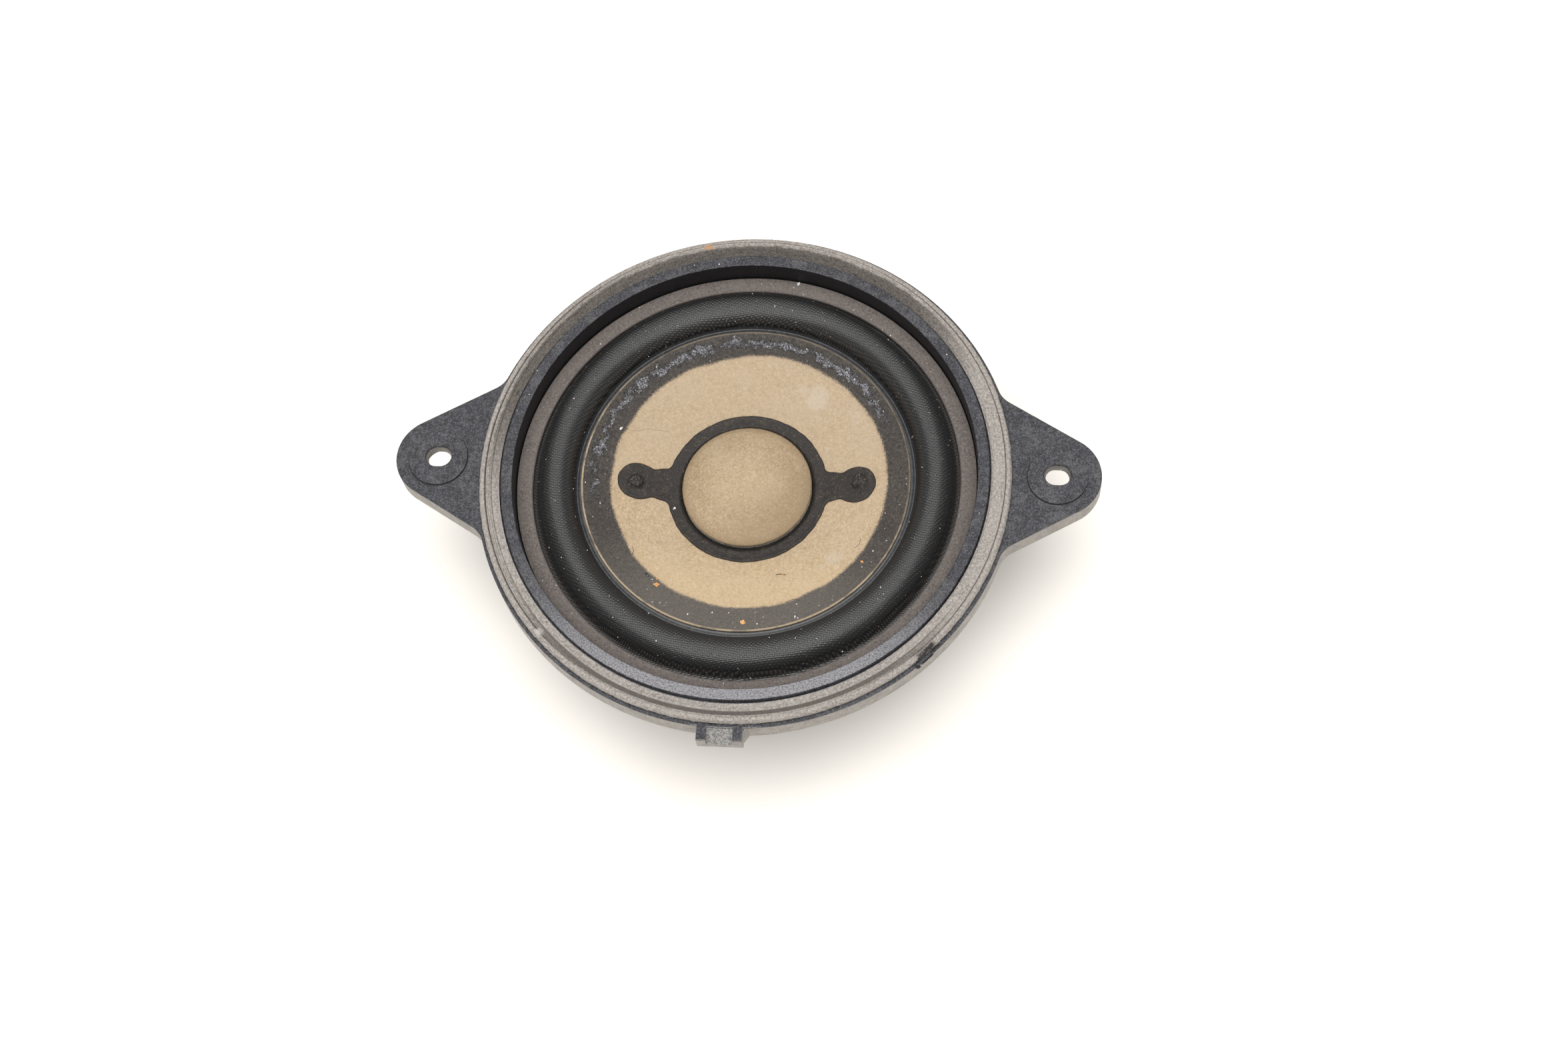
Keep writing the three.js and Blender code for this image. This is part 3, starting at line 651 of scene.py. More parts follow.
def paper_color(m, tint=1.0, cap=False):
    pulp = m.noise(2.3, 6, 0.80, dist=0.7)
    fib = m.noise(4.6, 4, 0.75, dist=2.4, offset=6.0)
    big = m.noise(0.14, 3, 0.55, offset=3.0)
    if cap:
        lo, mi, hi = (0.255, 0.180, 0.100), (0.390, 0.288, 0.175), (0.520, 0.405, 0.270)
    else:
        lo, mi, hi = (0.320, 0.232, 0.138), (0.455, 0.345, 0.218), (0.575, 0.455, 0.310)
    col = m.ramp(pulp, [(0.37, lo), (0.50, mi), (0.63, hi)])
    col = m.mix(m.mapr(fib, 0.38, 0.46, 0.60, 0.0), col, (0.190, 0.135, 0.082))
    col = m.mix(m.mapr(fib, 0.55, 0.66, 0.0, 0.45), col, (0.66, 0.56, 0.41))
    mott = m.noise(0.9, 3, 0.65, offset=27.0)
    col = m.mix(m.mapr(mott, 0.34, 0.50, 0.34, 0.0), col, (0.285, 0.205, 0.125))
    col = m.mix(m.mapr(big, 0.42, 0.68, 0.0, 0.30), col, (0.50, 0.400, 0.290))
    if not cap:
        col = m.mix(m.mapr(m.y, -14.0, 16.0, 0.0, 0.42), col, (0.405, 0.320, 0.235))
    return col, pulp, fib, big


def mat_cone():
    m = Mat("cone_paper")
    col, pulp, fib, big = paper_color(m)
    # dark damping coat on the outer part, with a fuzzy inner border
    edge_n = m.math("ADD", m.math("MULTIPLY", m.math("SUBTRACT", m.noise(3.2, 4, 0.8), 0.5), 1.5),
                    m.math("MULTIPLY", m.math("SUBTRACT", m.noise(0.16, 2, 0.5, offset=5.0), 0.5), 1.1))
    ox = m.math("SUBTRACT", m.x, 0.55)
    oy = m.math("SUBTRACT", m.y, 0.38)
    rr = m.math("ADD", m.math("SQRT", m.math("ADD", m.math("MULTIPLY", ox, ox), m.math("MULTIPLY", oy, oy))), edge_n)
    stain = m.mapr(rr, STAIN_R - 0.30, STAIN_R + 0.40)
    halo = m.mapr(rr, STAIN_R - 1.3, STAIN_R + 0.1)
    col = m.mix(m.math("MULTIPLY", halo, 0.12), col, (0.30, 0.225, 0.15))
    dk = m.ramp(pulp, [(0.36, (0.020, 0.0175, 0.0155)), (0.50, (0.054, 0.047, 0.041)), (0.66, (0.115, 0.101, 0.087))])
    dk = m.mix(m.mapr(fib, 0.56, 0.74, 0.0, 0.42), dk, (0.19, 0.17, 0.145))
    dk = m.mix(m.mapr(m.noise(0.28, 3, 0.6, offset=21.0), 0.42, 0.66, 0.0, 0.40), dk, (0.038, 0.033, 0.030))
    # dust and painted sheen: the near part of the dark coat is painted paler, in grains
    low = m.mapr(m.math("DIVIDE", m.y, m.math("MAXIMUM", m.r, 1.0)), -0.95, -0.35, 1.0, 0.0)
    dk = m.mix(m.math("MULTIPLY", low, m.mapr(fib, 0.40, 0.62, 0.12, 0.42)), dk, (0.27, 0.245, 0.215))
    col = m.mix(m.mapr(m.math("ADD", m.y, m.math("MULTIPLY", big, 6.0)), -20.0, -8.0, 0.40, 0.0), col, (0.60, 0.455, 0.285))
    col = m.mix(stain, col, dk)
    # crust of dried glue round the far and left part: white fluff with black pits
    cn = m.noise(0.55, 2, 0.5, offset=14.0)
    centre = m.math("ADD", 29.2, m.math("MULTIPLY", m.math("SUBTRACT", cn, 0.5), 4.0))
    off = m.math("ABSOLUTE", m.math("SUBTRACT", m.r, centre))
    # angular reach: full on the far side, fading past the left and right
    ang = m.math("DIVIDE", m.y, m.math("MAXIMUM", m.r, 1.0))
    lft = m.math("DIVIDE", m.x, m.math("MAXIMUM", m.r, 1.0))
    reach = m.mapr(m.math("SUBTRACT", ang, m.math("MULTIPLY", lft, 0.32)), -0.10, 0.30)
    clump = m.noise(3.8, 5, 0.85, dist=0.9, offset=30.0)
    body = m.mapr(off, 0.20, 1.55, 1.0, 0.0)
    amount = m.math("MULTIPLY", m.math("MULTIPLY", body, reach), m.mapr(m.noise(0.30, 2, 0.6, offset=44.0), 0.28, 0.50, 0.35, 1.0))
    fluff = m.mapr(m.math("ADD", clump, m.math("MULTIPLY", m.math("SUBTRACT", amount, 1.0), 0.22)), 0.40, 0.54)
    fluff = m.math("MULTIPLY", fluff, m.mapr(amount, 0.02, 0.2))
    pit = m.math("MULTIPLY", m.mapr(m.math("ADD", m.voronoi(2.2), m.math("MULTIPLY", clump, 0.30)), 0.30, 0.46, 1.0, 0.0), m.mapr(amount, 0.25, 0.6))
    col = m.mix(m.math("MULTIPLY", fluff, 0.80), col, (0.48, 0.475, 0.51))
    col = m.mix(m.math("MULTIPLY", pit, 0.92), col, (0.008, 0.008, 0.009))
    # bare cut edge of the paper
    rim = m.mapr(m.math("ADD", m.r, m.math("MULTIPLY", m.math("SUBTRACT", m.noise(2.0, 2), 0.5), 0.22)), 30.98, 31.10)
    bare = m.mapr(m.noise(0.25, 3, 0.6, offset=51.0), 0.36, 0.54, 0.35, 1.0)
    bare = m.math("MULTIPLY", bare, m.mapr(m.math("ADD", m.y, m.math("MULTIPLY", m.x, 0.5)), -4.0, 14.0, 1.0, 0.3))
    col = m.mix(m.math("MULTIPLY", rim, bare), col, (0.36, 0.285, 0.195))
    # pale dried marks at the upper right and lower right
    for (cx, cy, rad, s) in ((12.6, 18.6, 2.2, 0.26), (17.4, -15.0, 1.6, 0.28), (20.5, 14.0, 1.2, 0.14), (9.5, 20.5, 1.2, 0.16), (15.3, -17.0, 0.9, 0.2)):
        dx = m.math("SUBTRACT", m.x, cx)
        dy = m.math("SUBTRACT", m.y, cy)
        d = m.math("SQRT", m.math("ADD", m.math("MULTIPLY", dx, dx), m.math("MULTIPLY", dy, dy)))
        d = m.math("ADD", d, m.math("MULTIPLY", m.noise(0.6, 4, 0.75, offset=cx), 4.2))
        k = m.mapr(d, rad + 1.2, rad + 2.8, s, 0.0)
        col = m.mix(k, col, (0.56, 0.51, 0.445))
    specks = dust_mask(m, 1.2, 0.075, 0.16, 3.0)
    col = m.mix(m.math("MULTIPLY", specks, 0.8), col, (0.78, 0.76, 0.72))
    dark = dust_mask(m, 0.9, 0.06, 0.22, 13.0)
    col = m.mix(m.math("MULTIPLY", dark, 0.75), col, (0.06, 0.045, 0.035))
    h = m.math("ADD", m.math("MULTIPLY", pulp, 0.6), m.math("MULTIPLY", fib, 0.4))
    n1 = m.bump(h, 0.16, 0.85)
    n2 = m.bump(m.math("SUBTRACT", m.math("MULTIPLY", fluff, 0.9), m.math("MULTIPLY", pit, 0.8)), 0.22, 1.0, n1)
    return m.out(col, m.mapr(stain, 0.0, 1.0, 0.90, 0.66), n2, 0.0, spec=0.3)


def mat_cap():
    m = Mat("cap_paper")
    col, pulp, fib, big = paper_color(m, cap=True)
    # the crown of the dome is painted paler, in patches
    crown_patches = m.mapr(m.noise(0.10, 2, 0.5, offset=17.0), 0.42, 0.62, 0.0, 0.55)
    top = m.mapr(m.r, 3.0, 11.5, 0.65, 0.0)
    col = m.mix(m.math("MULTIPLY", m.math("ADD", crown_patches, 0.35), top), col, (0.57, 0.450, 0.310))
    edge = m.mapr(m.r, 10.6, 12.3, 0.0, 0.5)
    col = m.mix(edge, col, (0.25, 0.175, 0.100))
    side = m.mapr(m.math("ADD", m.math("SUBTRACT", m.x, m.y), m.math("MULTIPLY", m.noise(0.25, 2, 0.5, offset=7.0), 9.0)), 4.0, 19.0, 0.0, 0.5)
    col = m.mix(side, col, (0.29, 0.215, 0.135))
    dark = dust_mask(m, 1.6, 0.085, 0.35, 23.0)
    col = m.mix(m.math("MULTIPLY", dark, 0.6), col, (0.14, 0.10, 0.06))
    h = m.math("ADD", m.math("MULTIPLY", pulp, 0.7), m.math("MULTIPLY", fib, 0.3))
    lumps = m.noise(0.9, 3, 0.6, offset=2.0)
    return m.out(col, 0.9, m.bump(lumps, 0.22, 0.8, m.bump(h, 0.22, 0.9)), 0.0, spec=0.3)


def mat_glue():
    m = Mat("black_adhesive")
    n = m.noise(1.5, 3, 0.6)
    f = m.noise(4.6, 4, 0.8, offset=5.0)
    col = m.ramp(n, [(0.3, (0.014, 0.012, 0.011)), (0.7, (0.027, 0.023, 0.021))])
    col = m.mix(m.mapr(f, 0.52, 0.68, 0.0, 0.55), col, (0.080, 0.066, 0.052))
    crumbs = m.math("MULTIPLY", m.mapr(f, 0.56, 0.63), m.mapr(m.noise(0.8, 3, 0.6, offset=12.0), 0.46, 0.58))
    col = m.mix(m.math("MULTIPLY", crumbs, 0.75), col, (0.235, 0.180, 0.115))
    crumb2 = dust_mask(m, 1.9, 0.13, 0.30, 35.0)
    col = m.mix(m.math("MULTIPLY", crumb2, 0.7), col, (0.26, 0.20, 0.13))
    pit = m.math("MAXIMUM", dust_mask(m, 0.7, 0.12, 0.35, 31.0), dust_mask(m, 1.5, 0.13, 0.25, 37.0))
    col = m.mix(m.math("MULTIPLY", pit, 0.95), col, (0.004, 0.004, 0.004))
    n1 = m.bump(f, 0.085, 0.9)
    n2 = m.bump(n, 0.16, 0.6, n1)
    return m.out(col, m.mapr(f, 0.3, 0.7, 0.48, 0.66), n2, 0.0, spec=0.36)


def mat_solder():
    m = Mat("glued_rivet")
    f = m.noise(2.6, 5, 0.8, offset=41.0)
    col = m.ramp(f, [(0.42, (0.005, 0.005, 0.005)), (0.54, (0.022, 0.019, 0.016)), (0.60, (0.060, 0.050, 0.035)), (0.66, (0.33, 0.27, 0.175))])
    return m.out(col, 0.36, m.bump(f, 0.16, 0.9), 0.0, spec=0.5)


def mat_metal(name, base, rough, streak=0.0, turned=False):
    m = Mat(name)
    if turned:
        v = m.vec(m.math("MULTIPLY", m.r, 8.0), m.math("MULTIPLY", m.z, 8.0), 0.0)
        f = m.noise(1.0, 3, 0.6, vec=v)
    else:
        f = m.noise(2.5, 4, 0.6)
    g = m.noise(0.5, 3, 0.6, offset=3.0)
    a = tuple(x * 0.78 for x in base)
    b = tuple(min(1.0, x * 1.15) for x in base)
    col = m.ramp(g, [(0.3, a), (0.7, b)])
    return m.out(col, m.mapr(f, 0.3, 0.7, rough * 0.8, rough * 1.25), m.bump(f, 0.02, 0.35), 1.0)


def mat_spider():
    m = Mat("spider_cloth")
    su = m.math("ABSOLUTE", m.math("SINE", m.math("MULTIPLY", m.x, math.pi / 0.6)))
    sv = m.math("ABSOLUTE", m.math("SINE", m.math("MULTIPLY", m.y, math.pi / 0.6)))
    h = m.math("MULTIPLY", su, sv)
    col = m.ramp(h, [(0.05, (0.16, 0.085, 0.02)), (0.5, (0.36, 0.20, 0.05)), (0.95, (0.50, 0.31, 0.10))])
    return m.out(col, 0.75, m.bump(h, 0.12, 0.8), 0.0)


def mat_braid():
    m = Mat("tinsel_braid")
    su = m.math("SINE", m.math("MULTIPLY", m.math("ADD", m.math("ADD", m.x, m.y), m.z), math.pi / 0.22))
    sv = m.math("SINE", m.math("MULTIPLY", m.math("SUBTRACT", m.math("SUBTRACT", m.x, m.y), m.z), math.pi / 0.22))
    h = m.math("ABSOLUTE", m.math("MULTIPLY", su, sv))
    col = m.ramp(h, [(0.1, (0.18, 0.06, 0.02)), (0.8, (0.62, 0.27, 0.12))])
    return m.out(col, 0.42, m.bump(h, 0.06, 0.8), 0.6)


def mat_speck():
    m = Mat("dust_and_lint")
    n = m.noise(3.0, 2, 0.5)
    col = m.ramp(n, [(0.3, (0.50, 0.48, 0.45)), (0.7, (0.86, 0.85, 0.83))])
    return m.out(col, 0.9, m.bump(n, 0.02, 0.4), 0.0)


def mat_chip():
    m = Mat("rust_chip")
    n = m.noise(4.0, 3, 0.6)
    col = m.ramp(n, [(0.3, (0.42, 0.16, 0.04)), (0.55, (0.68, 0.36, 0.13)), (0.75, (0.78, 0.60, 0.40))])
    return m.out(col, 0.8, m.bump(n, 0.05, 0.6), 0.0)


def mat_hair():
    m = Mat("fibre")
    n = m.noise(1.0, 2, 0.5)
    col = m.ramp(n, [(0.3, (0.035, 0.025, 0.02)), (0.7, (0.10, 0.075, 0.055))])
    return m.out(col, 0.7, m.bump(n, 0.01, 0.3), 0.0)


# ------------------------------------------------------------------ camera, light
def make_camera():
    cam = bpy.data.cameras.new("camera")
    cam.sensor_width = 36.0
    cam.lens = 3500.0 / 2352.0 * 36.0
    cam.clip_start = 0.01
    cam.clip_end = 20.0
    ob = bpy.data.objects.new("camera", cam)
    scene.collection.objects.link(ob)
    right = Vector((0.99582, 0.06418, -0.06491))
    up = Vector((-0.03237, 0.91314, 0.40636))
    view = Vector((-0.08536, 0.40256, -0.91141))
    m = Matrix((right, up, -view)).transposed().to_4x4()
    m.translation = Vector((45.4, -185.63, 395.69 + RIM_TOP)) * MM
    ob.matrix_world = m
    scene.camera = ob


def area(name, loc, target, sx, sy, energy, color=(1, 1, 1)):
    li = bpy.data.lights.new(name, "AREA")
    li.shape = "RECTANGLE"
    li.size, li.size_y = sx, sy
    li.energy = energy
    li.color = color
    ob = bpy.data.objects.new(name, li)
    scene.collection.objects.link(ob)
    ob.location = loc
    ob.rotation_euler = (Vector(target) - Vector(loc)).to_track_quat("-Z", "Y").to_euler()
    return ob


def make_stage():
    w = bpy.data.worlds.new("studio")
    scene.world = w
    w.use_nodes = True
    bg = w.node_tree.nodes["Background"]
    bg.inputs[0].default_value = (1.0, 0.99, 0.975, 1.0)
    bg.inputs[1].default_value = 0.30
    area("overhead", (0.0, -0.46, 2.3), (0, -0.46, 0), 2.7, 2.8, 93.5, (1.0, 0.99, 0.975))
    m = Mat("pale_table")
    n = m.noise(0.02, 3, 0.5)
    col = m.ramp(n, [(0.3, (0.925, 0.885, 0.83)), (0.7, (0.945, 0.91, 0.86))])
    mat = m.out(col, 0.5, m.bump(m.noise(0.5, 3, 0.5), 0.01, 0.3), 0.0, spec=0.35)
    me = bpy.data.meshes.new("table")
    s = 3.6
    me.from_pydata([(-s, -s, 0), (s, -s, 0), (s, s, 0), (-s, s, 0)], [], [(0, 1, 2, 3)])
    floor = bpy.data.objects.new("table", me)
    scene.collection.objects.link(floor)
    floor.data.materials.append(mat)
    # pale backdrop all round, so low views end in white as well
    wall = bpy.data.materials.new("backdrop")
    wall.use_nodes = True
    nt = wall.node_tree
    nt.nodes.clear()
    em = nt.nodes.new("ShaderNodeEmission")
    em.inputs[0].default_value = (1.0, 0.985, 0.965, 1.0)
    em.inputs[1].default_value = 0.93
    mo = nt.nodes.new("ShaderNodeOutputMaterial")
    nt.links.new(em.outputs[0], mo.inputs[0])
    me = bpy.data.meshes.new("backdrop")
    n = 96
    ring = [(3.5 * math.cos(2 * math.pi * i / n), 3.5 * math.sin(2 * math.pi * i / n)) for i in range(n)]
    me.from_pydata([(x, y, -0.01) for x, y in ring] + [(x, y, 1.3) for x, y in ring], [],
                   [(i, (i + 1) % n, n + (i + 1) % n, n + i) for i in range(n)])
    back = bpy.data.objects.new("backdrop", me)
    scene.collection.objects.link(back)
    me.materials.append(wall)
    scene.view_settings.view_transform = "Standard"
    scene.view_settings.look = "None"
    scene.view_settings.exposure = 0.0


make_camera()
make_stage()


# ------------------------------------------------------------------ moulded frame
def build_basket():
    rim = revolve("frame_moulding", densify(fillet(
        [(RIM_IN, RIM_TOP), (RIM_IN, SEAT_TOP), (SEAT_IN, SEAT_TOP), (SEAT_IN, SEAT_BOT), (RIM_OUT, SEAT_BOT), (RIM_OUT, RIM_TOP)],
        [0.22, 0.2, 0.2, 0.2, 0.2, 0.3], 4), 1.2), 288)
    top = [(0.30, 0.0), (0.17, 0.03), (0.075, 0.085), (0.02, 0.17), (0.0, 0.30)]
    rings = [(flange_outline(-a), SKIRT_Z + b) for a, b in top]
    rings += [(flange_outline(0), z) for z in (31.0, 32.5)]
    rings += [(flange_outline(-a), FL_TOP - b) for a, b in reversed(top)]
    shell = stack("shell", rings)
    shell = boolean(shell, stack("pocket", [(flange_outline(-SKIRT_T + 0.1), SKIRT_Z - 1), (flange_outline(-SKIRT_T), SKIRT_Z + 0.4),
                                            (flange_outline(-SKIRT_T - 0.1), FL_TOP - FL_T - 0.3),
                                            (flange_outline(-SKIRT_T - 0.4), FL_TOP - FL_T)]), "DIFFERENCE")
    shell = boolean(shell, prism("bore", circle(RIM_OUT - 0.6, 192), 20, 45), "DIFFERENCE")
    # slot, its broken edge and the shallow spot face round it
    for s in (-1, 1):
        half, r = (SLOT_L - SLOT_W) / 2, SLOT_W / 2

        def slot(g):
            return np.vstack([arc(s * EAR_X + half, EAR_Y, r + g, -math.pi / 2, math.pi / 2, 24),
                              arc(s * EAR_X - half, EAR_Y, r + g, math.pi / 2, 1.5 * math.pi, 24)])
        o = circle(PAD_R, 128, s * EAR_X, EAR_Y - 0.35)
        k = lambda g: circle(PAD_R - g, 128, s * EAR_X, EAR_Y - 0.35)
        shell = boolean(shell, stack("pad", [(o, FL_TOP - 0.6), (o, FL_TOP + PAD_H - 0.08), (k(0.03), FL_TOP + PAD_H - 0.025),
                                             (k(0.09), FL_TOP + PAD_H)]))
        shell = boolean(shell, stack("slot", [(slot(0.2), 28), (slot(0.2), FL_TOP - FL_T + 0.0), (slot(-0.28), FL_TOP - FL_T + 0.35),
                                              (slot(-0.2), FL_TOP - 0.60), (slot(-0.02), FL_TOP - 0.30), (slot(0.04), FL_TOP + PAD_H - 0.12),
                                              (slot(0.20), FL_TOP + PAD_H + 0.02), (slot(0.22), FL_TOP + 1.5)]), "DIFFERENCE")
    ob = boolean(rim, shell)
    # stiffening ribs under the flange and round each slot
    for k in range(24):
        a = math.radians(7.5 + 15 * k)
        if abs(math.sin(a)) < 0.30:
            continue
        rib = rounded_box("rib", 45.6, 49.6, -0.6, 0.6, SKIRT_Z + 0.6, FL_TOP - FL_T + 0.3, 0.0)
        rib.data.transform(Matrix.Rotation(a, 4, "Z"))
        ob = boolean(ob, rib)
    for s in (-1, 1):
        boss = prism("boss", circle(4.4, 64, s * EAR_X, EAR_Y), SKIRT_Z + 0.4, FL_TOP - FL_T + 0.3)
        hole = prism("hole", circle(3.2, 64, s * EAR_X, EAR_Y), SKIRT_Z - 1, FL_TOP - FL_T + 1)
        boss = boolean(boss, hole, "DIFFERENCE")
        ob = boolean(ob, boss)
        for dy in (-1, 1):
            rib = rounded_box("rib", -0.6, 0.6, 4.1, 7.2, SKIRT_Z + 0.6, FL_TOP - FL_T + 0.3, 0.0)
            rib.data.transform(Matrix.Translation(Vector((s * EAR_X, EAR_Y, 0)) * MM) @ Matrix.Rotation(s * dy * math.radians(118) , 4, "Z"))
            ob = boolean(ob, rib)
    # bowl with its openings
    bowl = revolve("bowl", densify(fillet([(SEAT_IN + 0.1, SEAT_BOT + 0.5), (43.9, SEAT_BOT + 0.5), (43.9, SEAT_BOT), (28.3, 19.5),
                                          (26.5, 19.5), (26.5, 21.0)], [0, 0, 0, 0.8, 0.2, 0.2], 4), 2.0), 240)
    for k in range(12):
        mid = 15 + 30 * k
        if abs(mid - 90) < 20:
            continue
        a0, a1 = math.radians(mid - 8.5), math.radians(mid + 8.5)
        sec = np.vstack([arc(0, 0, 29.6, a0, a1, 6), arc(0, 0, 39.2, a1, a0, 8)])
        sec = fillet([tuple(p) for p in sec], [1.6 if i in (0, 6, 7, 15) else 0 for i in range(len(sec))], 6)
        bowl = boolean(bowl, prism("window", sec, 15, 32), "DIFFERENCE")
    ob = boolean(ob, bowl)
    collar = revolve("collar", densify(fillet(
        [(18.3, 5.0), (20.8, 5.0), (20.8, 15.2), (28.4, 19.5), (28.4, 20.6), (27.0, 21.0), (23.4, 21.0), (19.5, 16.4), (14.3, 16.4),
         (14.3, 14.85), (18.3, 14.85)], [0.3, 0.5, 1.5, 0.5, 0, 0, 0.3, 0.8, 0.3, 0.2, 0.2], 5), 2.0), 192)
    ob = boolean(ob, collar)
    for k in range(8):      # short gussets between collar and bowl
        a = math.radians(22.5 + 45 * k)
        if abs(math.cos(a - math.pi / 2)) > 0.95:
            continue
        n = 4
        g = new_mesh("gusset", [(20.4, -0.7, 8), (21.3, -0.7, 8), (27.2, -0.7, 19.2), (20.4, -0.7, 19.2),
                                (20.4, 0.7, 8), (21.3, 0.7, 8), (27.2, 0.7, 19.2), (20.4, 0.7, 19.2)],
                     [(0, 1, 2, 3), (7, 6, 5, 4), (0, 4, 5, 1), (1, 5, 6, 2), (2, 6, 7, 3), (3, 7, 4, 0)])
        g.data.transform(Matrix.Rotation(a, 4, "Z"))
        ob = boolean(ob, g)
    # plug socket
    sock = rounded_box("socket", -9, 9, 32.5, 46.0, 15.7, 26.8, 0.6, 4)
    ob = boolean(ob, sock)
    ob = boolean(ob, rounded_box("cavity", -7, 7, 36, 47.5, 17.3, 25.3, 0.4, 3), "DIFFERENCE")
    ob = boolean(ob, rounded_box("key", -1.6, 1.6, 38, 47.5, 25.0, 26.1, 0.0), "DIFFERENCE")
    latch = rounded_box("latch", -2.6, 2.6, 42.2, 45.4, 14.9, 16.2, 0.35, 3)
    ob = boolean(ob, latch)
    for s in (-1, 1):
        ob = boolean(ob, rounded_box("blade_slot", s * 3.5 - 1.7, s * 3.5 + 1.7, 28.6, 36.5, 22.9, 24.3, 0.0), "DIFFERENCE")
    # locating clip
    clip = rounded_box("clip", -5.1, 3.4, -53.4, -49.4, 30.7, FL_TOP, 0.16, 3)
    ramp = new_mesh("ramp", [(x, y, z) for x in (-3.3, 1.6) for y, z in ((-50.75, 34.2), (-53.9, 31.75), (-53.9, 36), (-50.75, 36))],
                    [(0, 1, 2, 3), (7, 6, 5, 4), (0, 4, 5, 1), (1, 5, 6, 2), (2, 6, 7, 3), (3, 7, 4, 0)])
    clip = boolean(clip, ramp, "DIFFERENCE")
    ob = boolean(ob, clip)
    # flare at the foot of the right cheek
    gus = new_mesh("flare", [(3.2, -52.9, 30.9), (3.2, -50.2, 30.9), (4.7, -50.55, 30.9), (3.2, -51.6, 34.2), (3.2, -50.2, 34.2), (3.9, -50.45, 34.2)],
                   [(0, 1, 2), (3, 5, 4), (0, 3, 4, 1), (1, 4, 5, 2), (2, 5, 3, 0)])
    ob = boolean(ob, gus)
    ob.name = "frame_moulding"
    ob.data.name = "frame_moulding"
    return ob


PLASTIC = mat_plastic()
basket = build_basket()
sharpen(basket, 40)
finish_piece(basket, PLASTIC, "frame", ["basket"])


# -------------------------------------------------------------------- foam gasket
def build_gasket():
    n, m = 1080, 58
    th = np.arange(n) * 2 * math.pi / n
    r = np.linspace(46.5, 50.2, m)
    T, R = np.meshgrid(th, r, indexing="ij")
    S, C = np.sin(T), np.cos(T)
    wf, wn = np.clip(S, 0, 1) ** 2, np.clip(-S, 0, 1) ** 2
    wr, wl = np.clip(C, 0, 1) ** 2, np.clip(-C, 0, 1) ** 2

    def groove(at, width, depth):
        return -depth * np.exp(-(((R - at) / width) ** 2))

    def step(at, width):
        return smooth01((R - at) / width)
    z_near = -1.05 + 0.16 * step(47.2, 0.5) + 0.84 * step(48.15, 1.05) + groove(48.1, 0.11, 0.22) + groove(49.35, 0.07, 0.10)
    z_right = -0.10 - 0.35 * (1 - step(46.5, 0.5)) + groove(49.2, 0.11, 0.26) - 0.06 * step(49.3, 0.2)
    z_left = (-0.42 + 0.20 * step(46.6, 0.9) + 0.16 * step(47.9, 0.4) + groove(47.95, 0.08, 0.12) + groove(48.35, 0.07, 0.10)
              + groove(48.75, 0.07, 0.10) + groove(49.15, 0.13, 0.42) + 0.06 * step(49.25, 0.2))
    z_far = -1.35 + 1.28 * step(46.6, 2.0) + groove(48.75, 0.09, 0.07) + groove(49.3, 0.10, 0.12) + groove(49.7, 0.06, 0.05)
    Z = wn * z_near + wr * z_right + wl * z_left + wf * z_far
    edge = np.clip((R - 49.78) / 0.42, 0, 1)
    Z -= 0.42 * edge ** 2.2
    # unevenness: long waves, fine cells, coarser pores on the inner slope of the far half
    Z += 0.06 * field(n, m, 34, 2, 1)
    Z += field(n, m, 760, 26, 2) * 0.026
    pores = -np.clip(field(n, m, 640, 16, 3) - 0.45, 0, 3) * 0.20
    inner = (1 - smooth01((R - 48.1) / 0.45)) * np.clip(smooth01((S + 0.05) / 0.35) + 0.45 * wl, 0, 1)
    Z += pores * (0.10 + 0.90 * inner)

    def spot(x, y, rad):
        return np.exp(-(((R * C - x) ** 2 + (R * S - y) ** 2) / rad ** 2))
    Z += 0.50 * spot(-35.3, -34.3, 0.80) - 0.70 * spot(-34.2, -34.6, 0.65) - 0.4 * spot(-36.0, -33.2, 0.5)    # nick, near left
    Z -= 0.40 * spot(-30.9, 38.9, 0.50)                                                                     # seam of the strip
    tear = np.clip(spot(37.0, -34.6, 1.2) + spot(35.6, -36.0, 1.2) + spot(38.3, -33.2, 0.9), 0, 1)
    Z -= 0.75 * tear * smooth01((R - 48.6) / 0.8) * np.clip(0.8 + 0.6 * field(n, m, 500, 12, 9), 0.2, 2)
    top = np.minimum(35.98 + Z, 36.25)
    bottom = 34.45
    # side walls, inner going down then bottom then outer going up
    P = [np.stack([R * C, R * S, top], 2)]
    rows = []
    wob = 0.05 * field(n, 4, 500, 2, 6)
    for k, z in enumerate(np.linspace(0.8, 0.0, 5)):
        rr = 50.2 + 0.07 + 0.05 * math.sin(k) + wob[:, k % 4]
        zz = bottom + (top[:, -1] - bottom) * z
        rows.append(np.stack([rr * np.cos(th), rr * np.sin(th), zz], 1))
    for k, z in enumerate(np.linspace(0.0, 0.75, 3)):
        rr = np.full(n, 46.5)
        zz = bottom + (top[:, 0] - bottom) * z
        rows.append(np.stack([rr * np.cos(th), rr * np.sin(th), zz], 1))
    P = np.concatenate([P[0], np.stack(rows, 1)], 1)
    return new_mesh("foam_ring", P.reshape(-1, 3), grid_faces(n, P.shape[1]))


gasket = build_gasket()
finish_piece(gasket, mat_foam(), "frame", ["foam_gasket"])


# ------------------------------------------------------------------- clamp ring
def clamp_warp(T, R, Z):
    return R + 0.012 * np.sin(7 * T + 1), Z + 0.02 * np.sin(3 * T) * (Z > 30.9)


clamp = revolve("surround_retainer", densify(fillet(
    [(CLAMP_IN, 30.35), (CLAMP_OUT, 30.35), (CLAMP_OUT, CLAMP_TOP), (CLAMP_IN, CLAMP_TOP)], [0.1, 0.1, 0.15, 0.16], 3), 0.35), 360, clamp_warp)
finish_piece(clamp, mat_clamp(), "frame", ["clamp_ring"])


